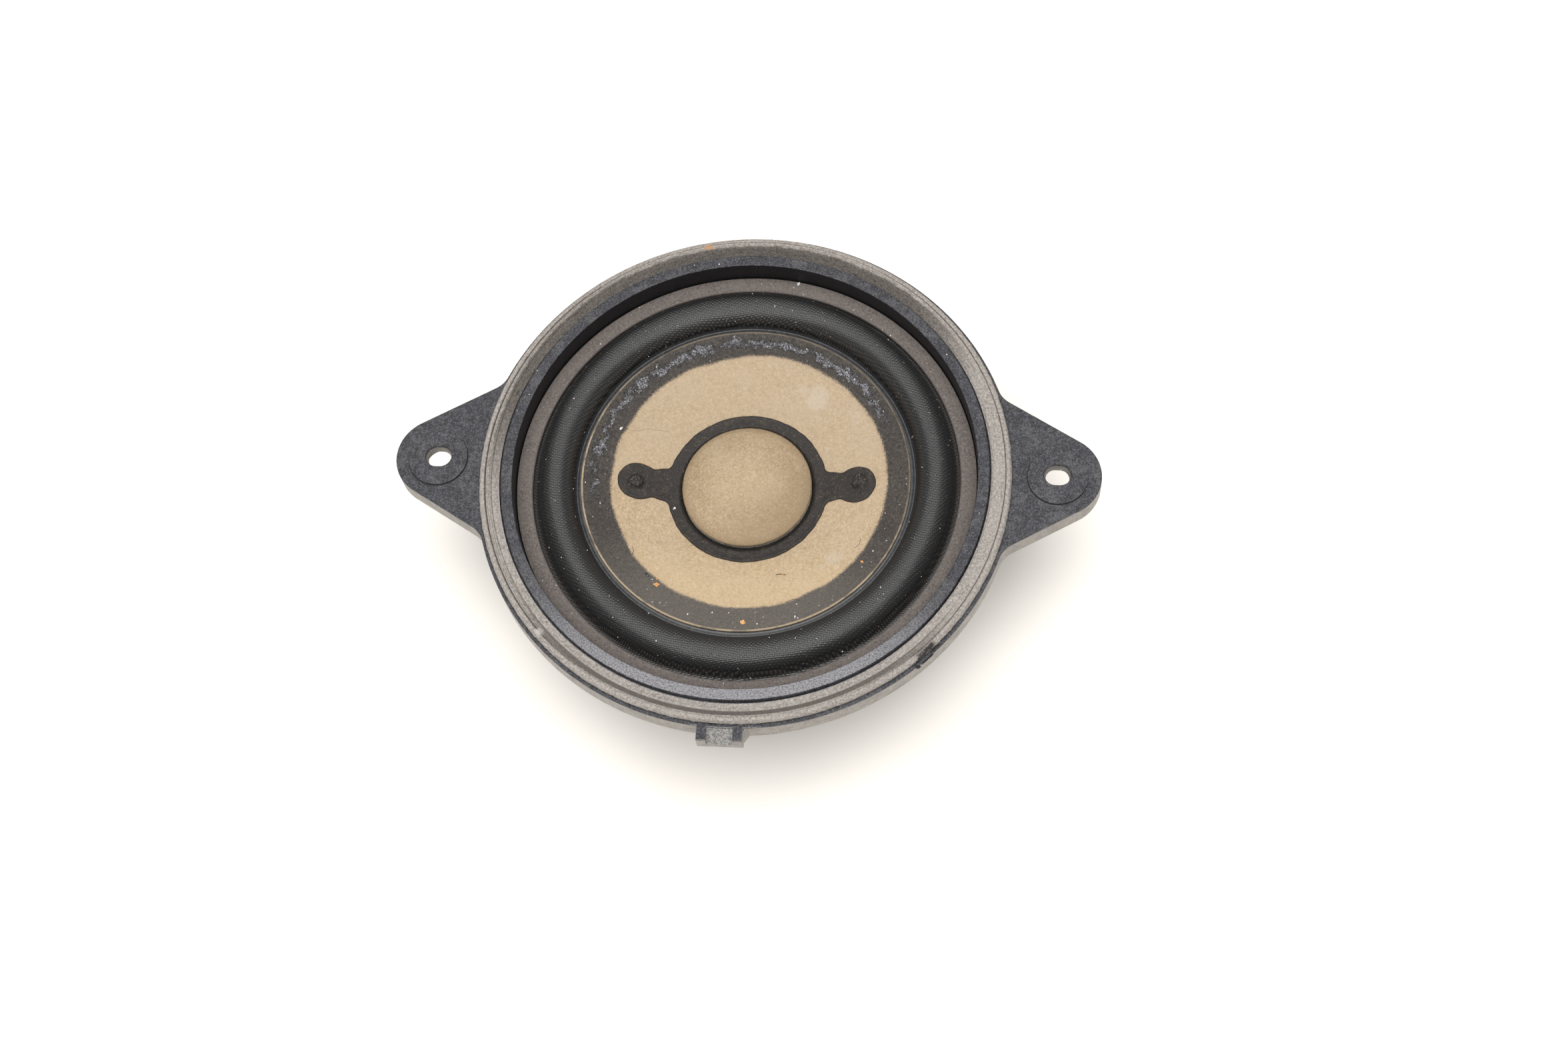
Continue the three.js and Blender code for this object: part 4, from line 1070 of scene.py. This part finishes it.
# -------------------------------------------------------------------- surround
def surround_profile():
    lip_in = lambda r: float(cone_top(r)) - 0.5 - 0.12
    top = [(29.3, lip_in(29.3)), (30.6, lip_in(30.6)), (31.5, lip_in(31.5) + 0.14), (31.75, 31.62), (32.0, 31.42), (32.3, 31.15)]
    mid, w, z0, h = 36.12, 3.72, 30.72, 4.35
    a = np.linspace(math.pi, 0, 44)
    c, s = np.cos(a), np.sin(a)
    p = 2.25
    roll_r = mid + w * np.sign(c) * np.abs(c) ** (2 / p) * 1.0
    roll_z = z0 + h * np.abs(s) ** (2 / p)
    top += [(r, z) for r, z in zip(roll_r, roll_z) if z > 31.2 or r > 36]
    out_top = [(40.0, 30.42), (40.25, 30.22), (40.6, 30.16), (41.4, 30.12), (43.5, 30.1)]
    top = [t for t in top if not (t[0] > 39.6 and t[1] < 30.6)] + out_top
    top = np.array(top)
    return densify(top, 0.14, closed=False)


def offset_profile(top, t):
    d = np.gradient(top, axis=0)
    d /= np.linalg.norm(d, axis=1)[:, None]
    nrm = np.stack([d[:, 1], -d[:, 0]], 1)
    return top + nrm * t


def build_surround():
    top = surround_profile()
    k = np.ones(5) / 5
    sm = top.copy()
    for _ in range(3):
        pad = np.vstack([sm[:1].repeat(2, 0), sm, sm[-1:].repeat(2, 0)])
        sm = np.stack([np.convolve(pad[:, 0], k, "valid"), np.convolve(pad[:, 1], k, "valid")], 1)
    bot = offset_profile(sm, 0.42)
    prof = np.vstack([sm, bot[::-1]])

    def warp(T, R, Z):
        roll = np.exp(-(((R - 36.1) / 2.6) ** 2))
        dz = 0.05 * np.sin(2 * T + 0.6) + 0.035 * np.sin(5 * T + 2) + 0.02 * np.sin(9 * T)
        return R + 0.05 * np.sin(3 * T + 1) * roll, Z + dz * roll
    return revolve("cloth_surround", prof, 540, warp)


def radial_blend(ob):
    """bakes the transform into the mesh and reads the vertex positions; nothing is done with them"""
    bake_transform(ob)
    co = np.zeros(len(ob.data.vertices) * 3)
    ob.data.vertices.foreach_get("co", co)
    co = co.reshape(-1, 3)


surround = build_surround()
put(surround, mat_surround())
radial_blend(surround)
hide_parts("surround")


# ------------------------------------------------------------------------- cone
def build_cone():
    n = 540
    r = np.concatenate([np.linspace(CONE_IN, 30.9, 110), [31.05, 31.2, 31.32, 31.39]])
    top = np.stack([r, cone_top(r)], 1)
    top[-1, 1] -= 0.16
    top[-2, 1] -= 0.05
    bot = np.stack([[31.4, 28.0, 22.0, CONE_IN], cone_top([31.4, 28.0, 22.0, CONE_IN]) - 0.5], 1)
    prof = np.vstack([top, bot])
    k = len(r)
    low = field(n, k, 26, 6, 31)
    fine = field(n, k, 420, 60, 32, 2)
    crust = field(n, k, 520, 90, 33, 2)

    def warp(T, R, Z):
        t, rr = T[:, :k], R[:, :k]
        stain = smooth01((rr - STAIN_R) / 0.4)
        s = np.sin(t) - 0.32 * np.cos(t)
        reach = smooth01((s + 0.10) / 0.4)
        band = np.exp(-(((rr - 29.15) / 0.62) ** 2)) * reach
        d = 0.012 * low + fine * (0.006 + 0.006 * stain) + np.clip(crust, -0.3, 2.0) * 0.075 * band
        Z = Z.copy()
        Z[:, :k] += d * smooth01((31.0 - rr) / 0.4)
        return R, Z
    return revolve("paper_cone", prof, n, warp)


cone = build_cone()
finish_piece(cone, mat_cone(), "diaphragm", ["cone"])


# --------------------------------------------------------------------- dust cap
def build_cap():
    u = np.linspace(0, 1, 60)
    r = CAP_R * u
    z = CAP_Z + CAP_RISE * (1 - u ** 2.1)
    z[-1] -= 0.12
    top = np.stack([r, z], 1)
    bot = np.stack([(CAP_R - 0.25) * u[::-4], CAP_Z - 0.4 + CAP_RISE * (1 - u[::-4] ** 2.1)], 1)
    prof = np.vstack([top, bot])
    prof[-1, 0] = 0.0
    n = 300
    k = len(prof) - 2
    f1, f2 = field(n, k, 14, 8, 41), field(n, k, 240, 60, 42, 2)

    def warp(T, R, Z):
        near_axis = smooth01((R - 1.0) / 3.0)
        return R, Z + (0.012 * f1 + 0.008 * f2) * near_axis
    return revolve_disc("dust_dome", prof, n, warp)


cap = build_cap()
finish_piece(cap, mat_cap(), "diaphragm", ["dust_cap"])


# ------------------------------------------------------- black adhesive with lobes
def glue_sdf(x, y):
    def smin(a, b, k):
        h = np.clip(0.5 + 0.5 * (b - a) / k, 0, 1)
        return b * (1 - h) + a * h - k * h * (1 - h)

    def box(px, py, hx, hy):
        qx, qy = np.abs(px) - hx, np.abs(py) - hy
        return np.hypot(np.maximum(qx, 0), np.maximum(qy, 0)) + np.minimum(np.maximum(qx, qy), 0)
    ring = np.hypot(x, y) - 15.42
    out = ring
    flare = 0.55 * smooth01((18.4 - np.abs(x)) / 2.6)
    left = np.hypot(x + 20.95, y + 0.05) - 3.78
    ln = box(x + 16.0, (y - 0.05), 4.4, 2.72 + flare) - 0.15
    right = np.hypot(x - 21.0, y - 0.6) - 3.74
    rn = box(x - 16.0, (y - 0.70), 4.4, 2.50 + 0.8 * flare) - 0.15
    out = smin(out, smin(left, ln, 0.8), 1.1)
    out = smin(out, smin(right, rn, 0.8), 1.1)
    wob = 0.055 * np.sin(x * 0.9 + 1.3 * np.sin(y * 0.7)) * np.cos(y * 1.1 + 0.7) + 0.03 * np.sin(x * 2.3 + y * 1.9) * np.sin(y * 2.9 - x)
    out = out + wob
    return np.maximum(out, 12.5 - np.hypot(x, y))


def build_glue():
    h = 0.14
    xs = np.arange(-26.0, 26.01, h)
    ys = np.arange(-16.4, 16.41, h)
    X, Y = np.meshgrid(xs, ys, indexing="ij")
    D = glue_sdf(X, Y)
    inside = D < 0.45 * h
    idx = -np.ones(X.shape, int)
    cell = inside[:-1, :-1] & inside[1:, :-1] & inside[:-1, 1:] & inside[1:, 1:]
    use = np.zeros(X.shape, bool)
    for di in (0, 1):
        for dj in (0, 1):
            use[di:X.shape[0] - 1 + di, dj:X.shape[1] - 1 + dj] |= cell
    # edge vertices slide onto the outline
    near = np.zeros(X.shape, bool)
    ii, jj = np.where(cell)
    cnt = np.zeros(X.shape, int)
    for di in (0, 1):
        for dj in (0, 1):
            np.add.at(cnt, (ii + di, jj + dj), 1)
    border = use & (cnt < 4)
    e = 0.01
    px, py = X.copy(), Y.copy()
    for _ in range(4):
        d = glue_sdf(px, py)
        gx = (glue_sdf(px + e, py) - glue_sdf(px - e, py)) / (2 * e)
        gy = (glue_sdf(px, py + e) - glue_sdf(px, py - e)) / (2 * e)
        gg = gx * gx + gy * gy + 1e-9
        step = np.where(border, d, 0.0)
        px -= step * gx / gg
        py -= step * gy / gg
    keep = np.where(use)
    idx[keep] = np.arange(len(keep[0]))
    x, y = px[keep], py[keep]
    d = -glue_sdf(x, y)
    r = np.hypot(x, y)
    edge = np.sqrt(np.clip(1 - (1 - np.clip(d / 0.55, 0, 1)) ** 2, 0, 1))
    low = cone_top(r) + 0.015
    ridge = 0.42 * smooth01((15.0 - r) / 2.3)
    dimple = 0.04 * np.sin(x * 1.1) * np.sin(y * 1.3 + 1) + 0.025 * np.sin(x * 2.9 + 2 * np.sin(y * 1.9)) * np.sin(y * 3.3 + 1.2 * np.sin(x * 2.2))
    thick = 0.10 + edge * (0.30 + ridge + dimple)
    wet = np.exp(-((x + 21.2) ** 2 + (y + 0.2) ** 2) / 4.5) + np.exp(-((x - 21.5) ** 2 + (y - 1.0) ** 2) / 4.5)
    thick += 0.16 * wet * edge
    # shallow gutter against the dust cap
    thick -= 0.30 * np.exp(-(((r - 12.75) / 0.28) ** 2)) * edge
    zt = low + thick
    n = len(x)
    V = np.vstack([np.stack([x, y, zt], 1), np.stack([x, y, low - 0.05], 1)])
    F = []
    edges = {}
    for i, j in zip(ii, jj):
        a, b, c, dd = idx[i, j], idx[i + 1, j], idx[i + 1, j + 1], idx[i, j + 1]
        F.append((a, b, c, dd))
        F.append((dd + n, c + n, b + n, a + n))
        for p, q in ((a, b), (b, c), (c, dd), (dd, a)):
            key = (min(p, q), max(p, q))
            edges[key] = None if key in edges else (p, q)
    for e2 in edges.values():
        if e2 is not None:
            p, q = e2
            F.append((q, p, p + n, q + n))
    return new_mesh("black_adhesive", V, F)


glue = build_glue()
finish_piece(glue, mat_glue(), "diaphragm", ["lead_adhesive"])


def build_rivet(name, cx, cy):
    n, m = 72, 26
    u = np.linspace(0, 1, m)
    r = 1.72 * u
    z = 0.78 * np.sqrt(np.clip(1 - (u / 0.86) ** 2.4, 0, 1)) + 0.12 * smooth01((u - 0.9) / 0.1) - 0.10 * np.exp(-((u - 0.0) / 0.25) ** 2)
    prof = [(0, z[0])] + [(a, b) for a, b in zip(r[1:], z[1:])] + [(1.60, -0.25), (0, -0.25)]
    f = field(n, len(prof) - 2, 13, 5, int(abs(cx * 10)), 2)

    def warp(T, R, Z):
        return R * (1 + 0.05 * np.sin(3 * T + cx)), Z + 0.060 * f * (Z > 0.02)
    ob = revolve_disc(name, prof, n, warp)
    tilt = Matrix.Rotation(-math.atan(0.3176) * (1 if cx > 0 else -1), 4, "Y")
    zc = float(cone_top(math.hypot(cx, cy))) + 0.50
    ob.data.transform(Matrix.Translation(Vector((cx, cy, zc)) * MM) @ tilt)
    return ob


SOLDER = mat_solder()
for nm, nd, cx, cy in (("rivet_left", "eyelet_left", -21.2, -0.2), ("rivet_right", "eyelet_right", 21.5, 1.15)):
    finish_piece(build_rivet(nm, cx, cy), SOLDER, "diaphragm", [nd])


# --------------------------------------------------------- coil, spider and motor
def build_spider():
    u = np.linspace(0, 1, 120)
    r = 13.0 + 10.6 * u
    z = 21.45 - 0.9 * np.sin(u * 6 * math.pi) * np.clip((1 - u) * 30, 0, 1)
    top = np.vstack([[(12.55, 22.75), (12.75, 22.6), (12.9, 22.0)], np.stack([r, z], 1)[1:], [(24.2, 21.45), (26.3, 21.45)]])
    prof = np.vstack([top + [0, 0.14], (top - [0, 0.14])[::-1]])
    return revolve("spider_cloth", prof, 300)


spider = build_spider()
put(spider, mat_spider())
radial_blend(spider)
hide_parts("spider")

cup = revolve_disc("motor_can", np.vstack([[(0, 0.0)], densify(fillet([(1.0, 0.0), (17.3, 0.0), (18.0, 0.7), (18.0, 14.5), (13.7, 14.5),
                   (13.7, 4.0), (1.0, 4.0)], [0, 0.2, 0.2, 0.35, 0.25, 0.8, 0], 4), 0.8, closed=False), [(0, 4.0)]]), 240)
sharpen(cup, 50)
finish_piece(cup, mat_metal("zinc_steel", (0.50, 0.51, 0.53), 0.34, turned=True), "frame", ["motor_cup"])

STEEL = mat_metal("plain_steel", (0.47, 0.48, 0.50), 0.35, turned=True)
NICKEL = mat_metal("nickel", (0.62, 0.61, 0.58), 0.22)
COPPER = mat_metal("copper", (0.78, 0.40, 0.22), 0.3)
BRASS = mat_metal("brass", (0.75, 0.56, 0.25), 0.3)
for node, mat in (("pole_plate", STEEL), ("magnet", NICKEL), ("shorting_ring", COPPER)):
    put(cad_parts[node], mat)

former = revolve("coil_tube", [(12.2, 8.2), (12.42, 8.2), (12.42, 27.2), (12.2, 27.2)], 192)
sharpen(former, 40, False)
finish_piece(former, mat_metal("former_foil", (0.66, 0.64, 0.58), 0.42), "diaphragm", ["voice_coil_former"])
turns = [(12.45, 9.2)]
for k in range(24):
    z = 9.325 + 0.25 * k
    turns += [(13.1 - 0.06, z - 0.1), (13.1, z), (13.1 - 0.06, z + 0.1)]
turns += [(12.45, 15.2)]
winding = revolve("wire_turns", turns, 192)
finish_piece(winding, mat_metal("enamelled_wire", (0.62, 0.25, 0.09), 0.28), "diaphragm", ["voice_coil_winding"])


def mat_kraft():
    m = Mat("kraft_collar")
    n = m.noise(5.0, 3, 0.6)
    col = m.ramp(n, [(0.3, (0.30, 0.18, 0.08)), (0.7, (0.46, 0.30, 0.15))])
    return m.out(col, 0.85, m.bump(n, 0.03, 0.5), 0.0)


collar2 = revolve("paper_collar", fillet([(12.47, 23.2), (12.72, 23.2), (12.72, 25.6), (12.47, 25.6)], 0.05, 2), 192)
finish_piece(collar2, mat_kraft(), "diaphragm", ["former_collar"])


# ------------------------------------------------------------- terminals and leads
def build_blade(name, s):
    x = s * 3.5
    o = [(x - 1.4, 25.4), (x + 1.4, 25.4), (x + 1.4, 43.0), (x + 1.05, 44.0), (x - 1.05, 44.0), (x - 1.4, 43.0)]
    o = fillet(o, [0.4, 0.4, 0.3, 0.2, 0.2, 0.3], 4)
    inner = lambda d: np.array([((px - x) * (1 - d / 1.4) + x, py + (d if py < 30 else -d)) for px, py in o])
    ob = stack(name, [(inner(0.1), 23.2), (inner(0.0), 23.3), (inner(0.0), 23.9), (inner(0.1), 24.0)])
    sharpen(ob, 40, False)
    return ob


for side, s in (("left", -1), ("right", 1)):
    finish_piece(build_blade("blade_" + side, s), BRASS, "frame", ["terminal_" + side])

BRAID = mat_braid()


def build_lead(name, s):
    zs = float(cone_top(21.3)) - 0.5 - 0.35 - 0.45 - 0.12
    pts = [(20.2, 0.3, zs - 0.3), (21.9, 1.2, zs - 0.65), (23.0, 4.6, 25.9), (22.4, 10.5, 24.9), (18.4, 17.6, 24.75), (11.6, 23.6, 24.95),
           (6.4, 26.2, 24.7), (2.6, 26.7, 24.55)]
    P = np.array([(s * a, b, c) for a, b, c in pts])
    # Catmull-Rom through the points
    out = []
    Q = np.vstack([2 * P[0] - P[1], P, 2 * P[-1] - P[-2]])
    for i in range(1, len(Q) - 2):
        for t in np.linspace(0, 1, 14, endpoint=False):
            a, b, c, d = Q[i - 1], Q[i], Q[i + 1], Q[i + 2]
            out.append(0.5 * (2 * b + (c - a) * t + (2 * a - 5 * b + 4 * c - d) * t * t + (3 * b - a - 3 * c + d) * t ** 3))
    out.append(P[-1])
    C = np.array(out)
    n = 14
    rings = []
    up = np.array([0, 0, 1.0])
    for i in range(len(C)):
        t = C[min(i + 1, len(C) - 1)] - C[max(i - 1, 0)]
        t /= np.linalg.norm(t)
        a = np.cross(t, up)
        a /= np.linalg.norm(a)
        b = np.cross(a, t)
        twist = i * 0.35
        rr = 0.42 * (1 + 0.05 * np.cos(4 * (np.arange(n) * 2 * math.pi / n) + twist))
        ang = np.arange(n) * 2 * math.pi / n
        rings.append(C[i] + rr[:, None] * (np.cos(ang)[:, None] * a + np.sin(ang)[:, None] * b))
    V = np.vstack(rings)
    F = grid_faces(len(C), n, False, True)
    F += [tuple(range(n)), tuple(range(len(V) - n, len(V)))[::-1]]
    ob = new_mesh(name, V, F)
    put(ob, BRAID)
    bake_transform(ob)
    return ob


for side, s in (("left", -1), ("right", 1)):
    ob = build_lead("braid_" + side, s)
    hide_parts("tinsel_lead_" + side)


# --------------------------------------------------------------- dust and crumbs
def fleck(rng, c, size, flat=0.5):
    """a small irregular closed crumb"""
    v = np.array([(1, 0, 0), (-1, 0, 0), (0, 1, 0), (0, -1, 0), (0, 0, 1), (0, 0, -1)], float)
    v *= (0.6 + 0.8 * rng.random((6, 1)))
    v *= size * np.array([1.0, 0.5 + 0.7 * rng.random(), flat])
    a = rng.random() * 2 * math.pi
    rot = np.array([[math.cos(a), -math.sin(a), 0], [math.sin(a), math.cos(a), 0], [0, 0, 1]])
    v = v @ rot.T + c
    f = [(0, 2, 4), (2, 1, 4), (1, 3, 4), (3, 0, 4), (2, 0, 5), (1, 2, 5), (3, 1, 5), (0, 3, 5)]
    return v, f


def scatter(name, n, pick, lo, hi, seed):
    rng = np.random.default_rng(seed)
    V, F = [], []
    for _ in range(n):
        c = pick(rng)
        size = lo + (hi - lo) * rng.random() ** 3
        v, f = fleck(rng, np.array(c) + [0, 0, size * 0.25], size)
        k = len(V) * 6
        V.append(v)
        F += [tuple(i + k for i in t) for t in f]
    return new_mesh(name, np.vstack(V), F, smooth=False)


def pick_frame(rng):
    k = rng.random()
    a = rng.random() * 2 * math.pi
    if k < 0.55:
        r = 41.0 + 2.6 * rng.random()
        return (r * math.cos(a), r * math.sin(a), CLAMP_TOP)
    if k < 0.85:
        r = 44.4 + 1.5 * rng.random()
        return (r * math.cos(a), r * math.sin(a), RIM_TOP)
    s = 1 if rng.random() < 0.5 else -1
    return (s * (53 + 11 * rng.random()), EAR_Y + 8 * (rng.random() - 0.5), FL_TOP)


def pick_cone(rng):
    a = rng.random() * 2 * math.pi
    r = 17 + 14 * rng.random() ** 0.5
    if rng.random() < 0.6:
        r = 27 + 3.8 * rng.random()
    return (r * math.cos(a), r * math.sin(a), float(cone_top(r)))


SPECK = mat_speck()
finish_piece(scatter("dust_on_frame", 150, pick_frame, 0.035, 0.16, 3), SPECK, "frame")
finish_piece(scatter("dust_on_cone", 150, pick_cone, 0.035, 0.17, 4), SPECK, "diaphragm")
prof = surround_profile()


def pick_roll(rng):
    a = rng.random() * 2 * math.pi
    p = prof[int(len(prof) * (0.15 + 0.7 * rng.random()))]
    return (p[0] * math.cos(a), p[0] * math.sin(a), p[1])


rolldust = scatter("dust_on_surround", 260, pick_roll, 0.03, 0.15, 5)
put(rolldust, SPECK)
radial_blend(rolldust)



def residue():
    """black, torn strip of old sealant on the ledge at the near right, with a hooked end over the wall"""
    rng = np.random.default_rng(12)
    V, F = [], []

    def lump(pts, w, h, tag):
        P = np.array(pts, float)
        t = np.linspace(0, len(P) - 1, 40)
        C = np.stack([np.interp(t, np.arange(len(P)), P[:, k]) for k in range(3)], 1)
        for _ in range(4):
            C[1:-1] = (C[:-2] + 2 * C[1:-1] + C[2:]) / 4
        n = 16
        rings = []
        for i in range(len(C)):
            d = C[min(i + 1, len(C) - 1)] - C[max(i - 1, 0)]
            d /= np.linalg.norm(d)
            out = np.array([C[i][0], C[i][1], 0.0])
            out /= np.linalg.norm(out)
            up = np.cross(d, out)
            up /= np.linalg.norm(up)
            if up[2] < 0:
                up = -up
            u = i / (len(C) - 1)
            taper = math.sqrt(max(0.02, 1 - abs(2 * u - 1) ** 3.0)) * (0.85 + 0.2 * math.sin(9 * u + 3 * tag) + 0.15 * rng.random())
            a = np.arange(n) * 2 * math.pi / n
            jag = 1 + 0.10 * rng.standard_normal(n)
            rings.append(C[i] + (taper * jag * np.cos(a) * w)[:, None] * out + (taper * jag * np.sin(a) * h)[:, None] * up)
        base = sum(len(v) for v in V)
        V.append(np.vstack(rings))
        F.extend(grid_faces(len(C), n, False, True, base))
        F.append(tuple(range(base, base + n)))
        F.append(tuple(range(base + (len(C) - 1) * n, base + len(C) * n))[::-1])

    def at(deg, r, z):
        a = math.radians(deg)
        return (r * math.cos(a), r * math.sin(a), z)
    lump([at(-47.6, 50.2, 34.75), at(-46.4, 50.15, 34.95), at(-44.8, 50.0, 35.15), at(-43.2, 49.85, 35.35), at(-41.9, 49.7, 35.45)], 0.40, 0.34, 0)
    lump([at(-47.8, 50.3, 34.8), at(-48.0, 50.9, 34.45), at(-47.6, 51.15, 33.9), at(-47.0, 51.15, 33.5)], 0.22, 0.30, 1)
    lump([at(-46.9, 51.1, 33.9), at(-45.6, 51.12, 34.2), at(-44.4, 51.1, 34.1), at(-43.5, 51.1, 34.3)], 0.12, 0.20, 2)
    lump([at(-43.6, 50.6, 34.55), at(-42.4, 50.6, 34.6), at(-41.2, 50.6, 34.55)], 0.25, 0.22, 3)
    return new_mesh("sealant_residue", np.vstack(V), F)


def mat_residue():
    m = Mat("old_sealant")
    n = m.noise(2.6, 4, 0.75)
    col = m.ramp(n, [(0.4, (0.004, 0.004, 0.004)), (0.56, (0.016, 0.014, 0.013)), (0.68, (0.075, 0.066, 0.058))])
    return m.out(col, 0.38, m.bump(n, 0.25, 1.0), 0.0, spec=0.5)


finish_piece(residue(), mat_residue(), "frame")

def crumbs_at(name, items, mat, body, flat=0.5, seed=60):
    V, F = [], []
    for i, (x, y, z, size) in enumerate(items):
        rng = np.random.default_rng(seed + i)
        for j in range(3):          # three shards to a crumb
            o = 0.45 * size * rng.standard_normal(3) * [1, 1, 0.15] * (j > 0)
            v, f = fleck(rng, np.array([x, y, z + size * flat * 0.3]) + o, size * (1.0 if j == 0 else 0.62), flat)
            k = 6 * (3 * i + j)
            V.append(v)
            F += [tuple(q + k for q in t) for t in f]
    return finish_piece(new_mesh(name, np.vstack(V), F, smooth=False), mat, body)


zc = lambda x, y: float(cone_top(math.hypot(x, y)))
crumbs_at("flake_on_clamp", [(7.5, 42.75, CLAMP_TOP + 0.05, 0.36)], SPECK, "frame", 0.4)
crumbs_at("white_crumbs", [(-13.75, -4.8, zc(-13.75, -4.8) + 0.42, 0.34), (-24.9, 10.2, zc(-24.9, 10.2), 0.34), (19.7, 21.8, zc(19.7, 21.8), 0.22),
                           (26.9, 0.2, zc(26.9, 0.2), 0.18), (-8.8, -28.1, zc(-8.8, -28.1), 0.20), (11.2, -27.9, zc(11.2, -27.9), 0.26),
                           (11.7, -28.2, zc(11.7, -28.2), 0.2), (4.2, -29.6, zc(4.2, -29.6), 0.16), (-27.4, -6.0, zc(-27.4, -6.0), 0.16),
                           (24.9, -14.0, zc(24.9, -14.0), 0.15), (-19.0, 23.2, zc(-19.0, 23.2), 0.18)], SPECK, "diaphragm", 0.45, 90)


def mat_char():
    m = Mat("dark_crumb")
    n = m.noise(3.0, 3, 0.7)
    col = m.ramp(n, [(0.4, (0.006, 0.006, 0.006)), (0.6, (0.045, 0.038, 0.032))])
    return m.out(col, 0.6, m.bump(n, 0.08, 0.8), 0.0)


CHAR = mat_char()
crumbs_at("dark_crumbs", [(-17.4, -19.95, zc(-17.4, -19.95), 0.32), (-17.0, -20.3, zc(-17.0, -20.3), 0.24), (23.3, -14.8, zc(23.3, -14.8), 0.14),
                          (-6.4, -28.9, zc(-6.4, -28.9), 0.13), (26.8, 6.1, zc(26.8, 6.1), 0.16)], CHAR, "diaphragm", 0.5, 120)

CHIP = mat_chip()
chips = []
for i, (x, y, s) in enumerate(((-15.2, -22.0, 0.66), (1.6, -29.3, 0.60), (-15.3, -20.9, 0.24), (22.9, -16.2, 0.30), (8.1, -18.3, 0.20))):
    rng = np.random.default_rng(70 + i)
    v, f = fleck(rng, np.array([x, y, float(cone_top(math.hypot(x, y))) + 0.12]), s, 0.3)
    chips.append((v, [tuple(k + 6 * i for k in t) for t in f]))
finish_piece(new_mesh("rust_chips", np.vstack([c[0] for c in chips]), [t for c in chips for t in c[1]], smooth=False), CHIP, "diaphragm")


def fibre(name, pts, rad, body):
    P = np.array(pts, float)
    t = np.linspace(0, len(P) - 1, 40)
    C = np.stack([np.interp(t, np.arange(len(P)), P[:, k]) for k in range(3)], 1)
    for _ in range(6):
        C[1:-1] = (C[:-2] + 2 * C[1:-1] + C[2:]) / 4
    rings = []
    for i in range(len(C)):
        d = C[min(i + 1, len(C) - 1)] - C[max(i - 1, 0)]
        d /= np.linalg.norm(d)
        a = np.cross(d, [0, 0, 1.0])
        a /= np.linalg.norm(a)
        b = np.cross(a, d)
        rings.append(np.array([C[i] + rad * (math.cos(w) * a + math.sin(w) * b) for w in np.arange(5) * 2 * math.pi / 5]))
    V = np.vstack(rings)
    F = grid_faces(len(C), 5, False, True) + [tuple(range(5)), tuple(range(len(V) - 5, len(V)))[::-1]]
    return V, F


def on_cone(x, y, lift=0.06):
    return (x, y, float(cone_top(math.hypot(x, y))) + lift)


hairs = [fibre("e", [on_cone(6.8, -18.3, 0.05), on_cone(7.6, -18.15, 0.16), on_cone(8.7, -18.35, 0.05)], 0.07, "diaphragm"),
         fibre("a", [on_cone(-24.4, 10.4), on_cone(-22.5, 10.0), on_cone(-20.0, 10.9), on_cone(-16.0, 11.0)], 0.012, "diaphragm"),
         fibre("b", [on_cone(9.5, -24.5), on_cone(10.6, -24.0), on_cone(11.9, -24.3)], 0.035, "diaphragm"),
         fibre("c", [on_cone(-20.6, -14.3), on_cone(-20.2, -15.2), on_cone(-20.4, -16.0)], 0.04, "diaphragm"),
         fibre("d", [on_cone(21.5, -13.0), on_cone(22.3, -12.2), on_cone(22.4, -11.0)], 0.03, "diaphragm")]
V, F = [], []
for v, f in hairs:
    k = sum(len(a) for a in V)
    V.append(v)
    F += [tuple(i + k for i in t) for t in f]
finish_piece(new_mesh("lint", np.vstack(V), F), mat_hair(), "diaphragm")
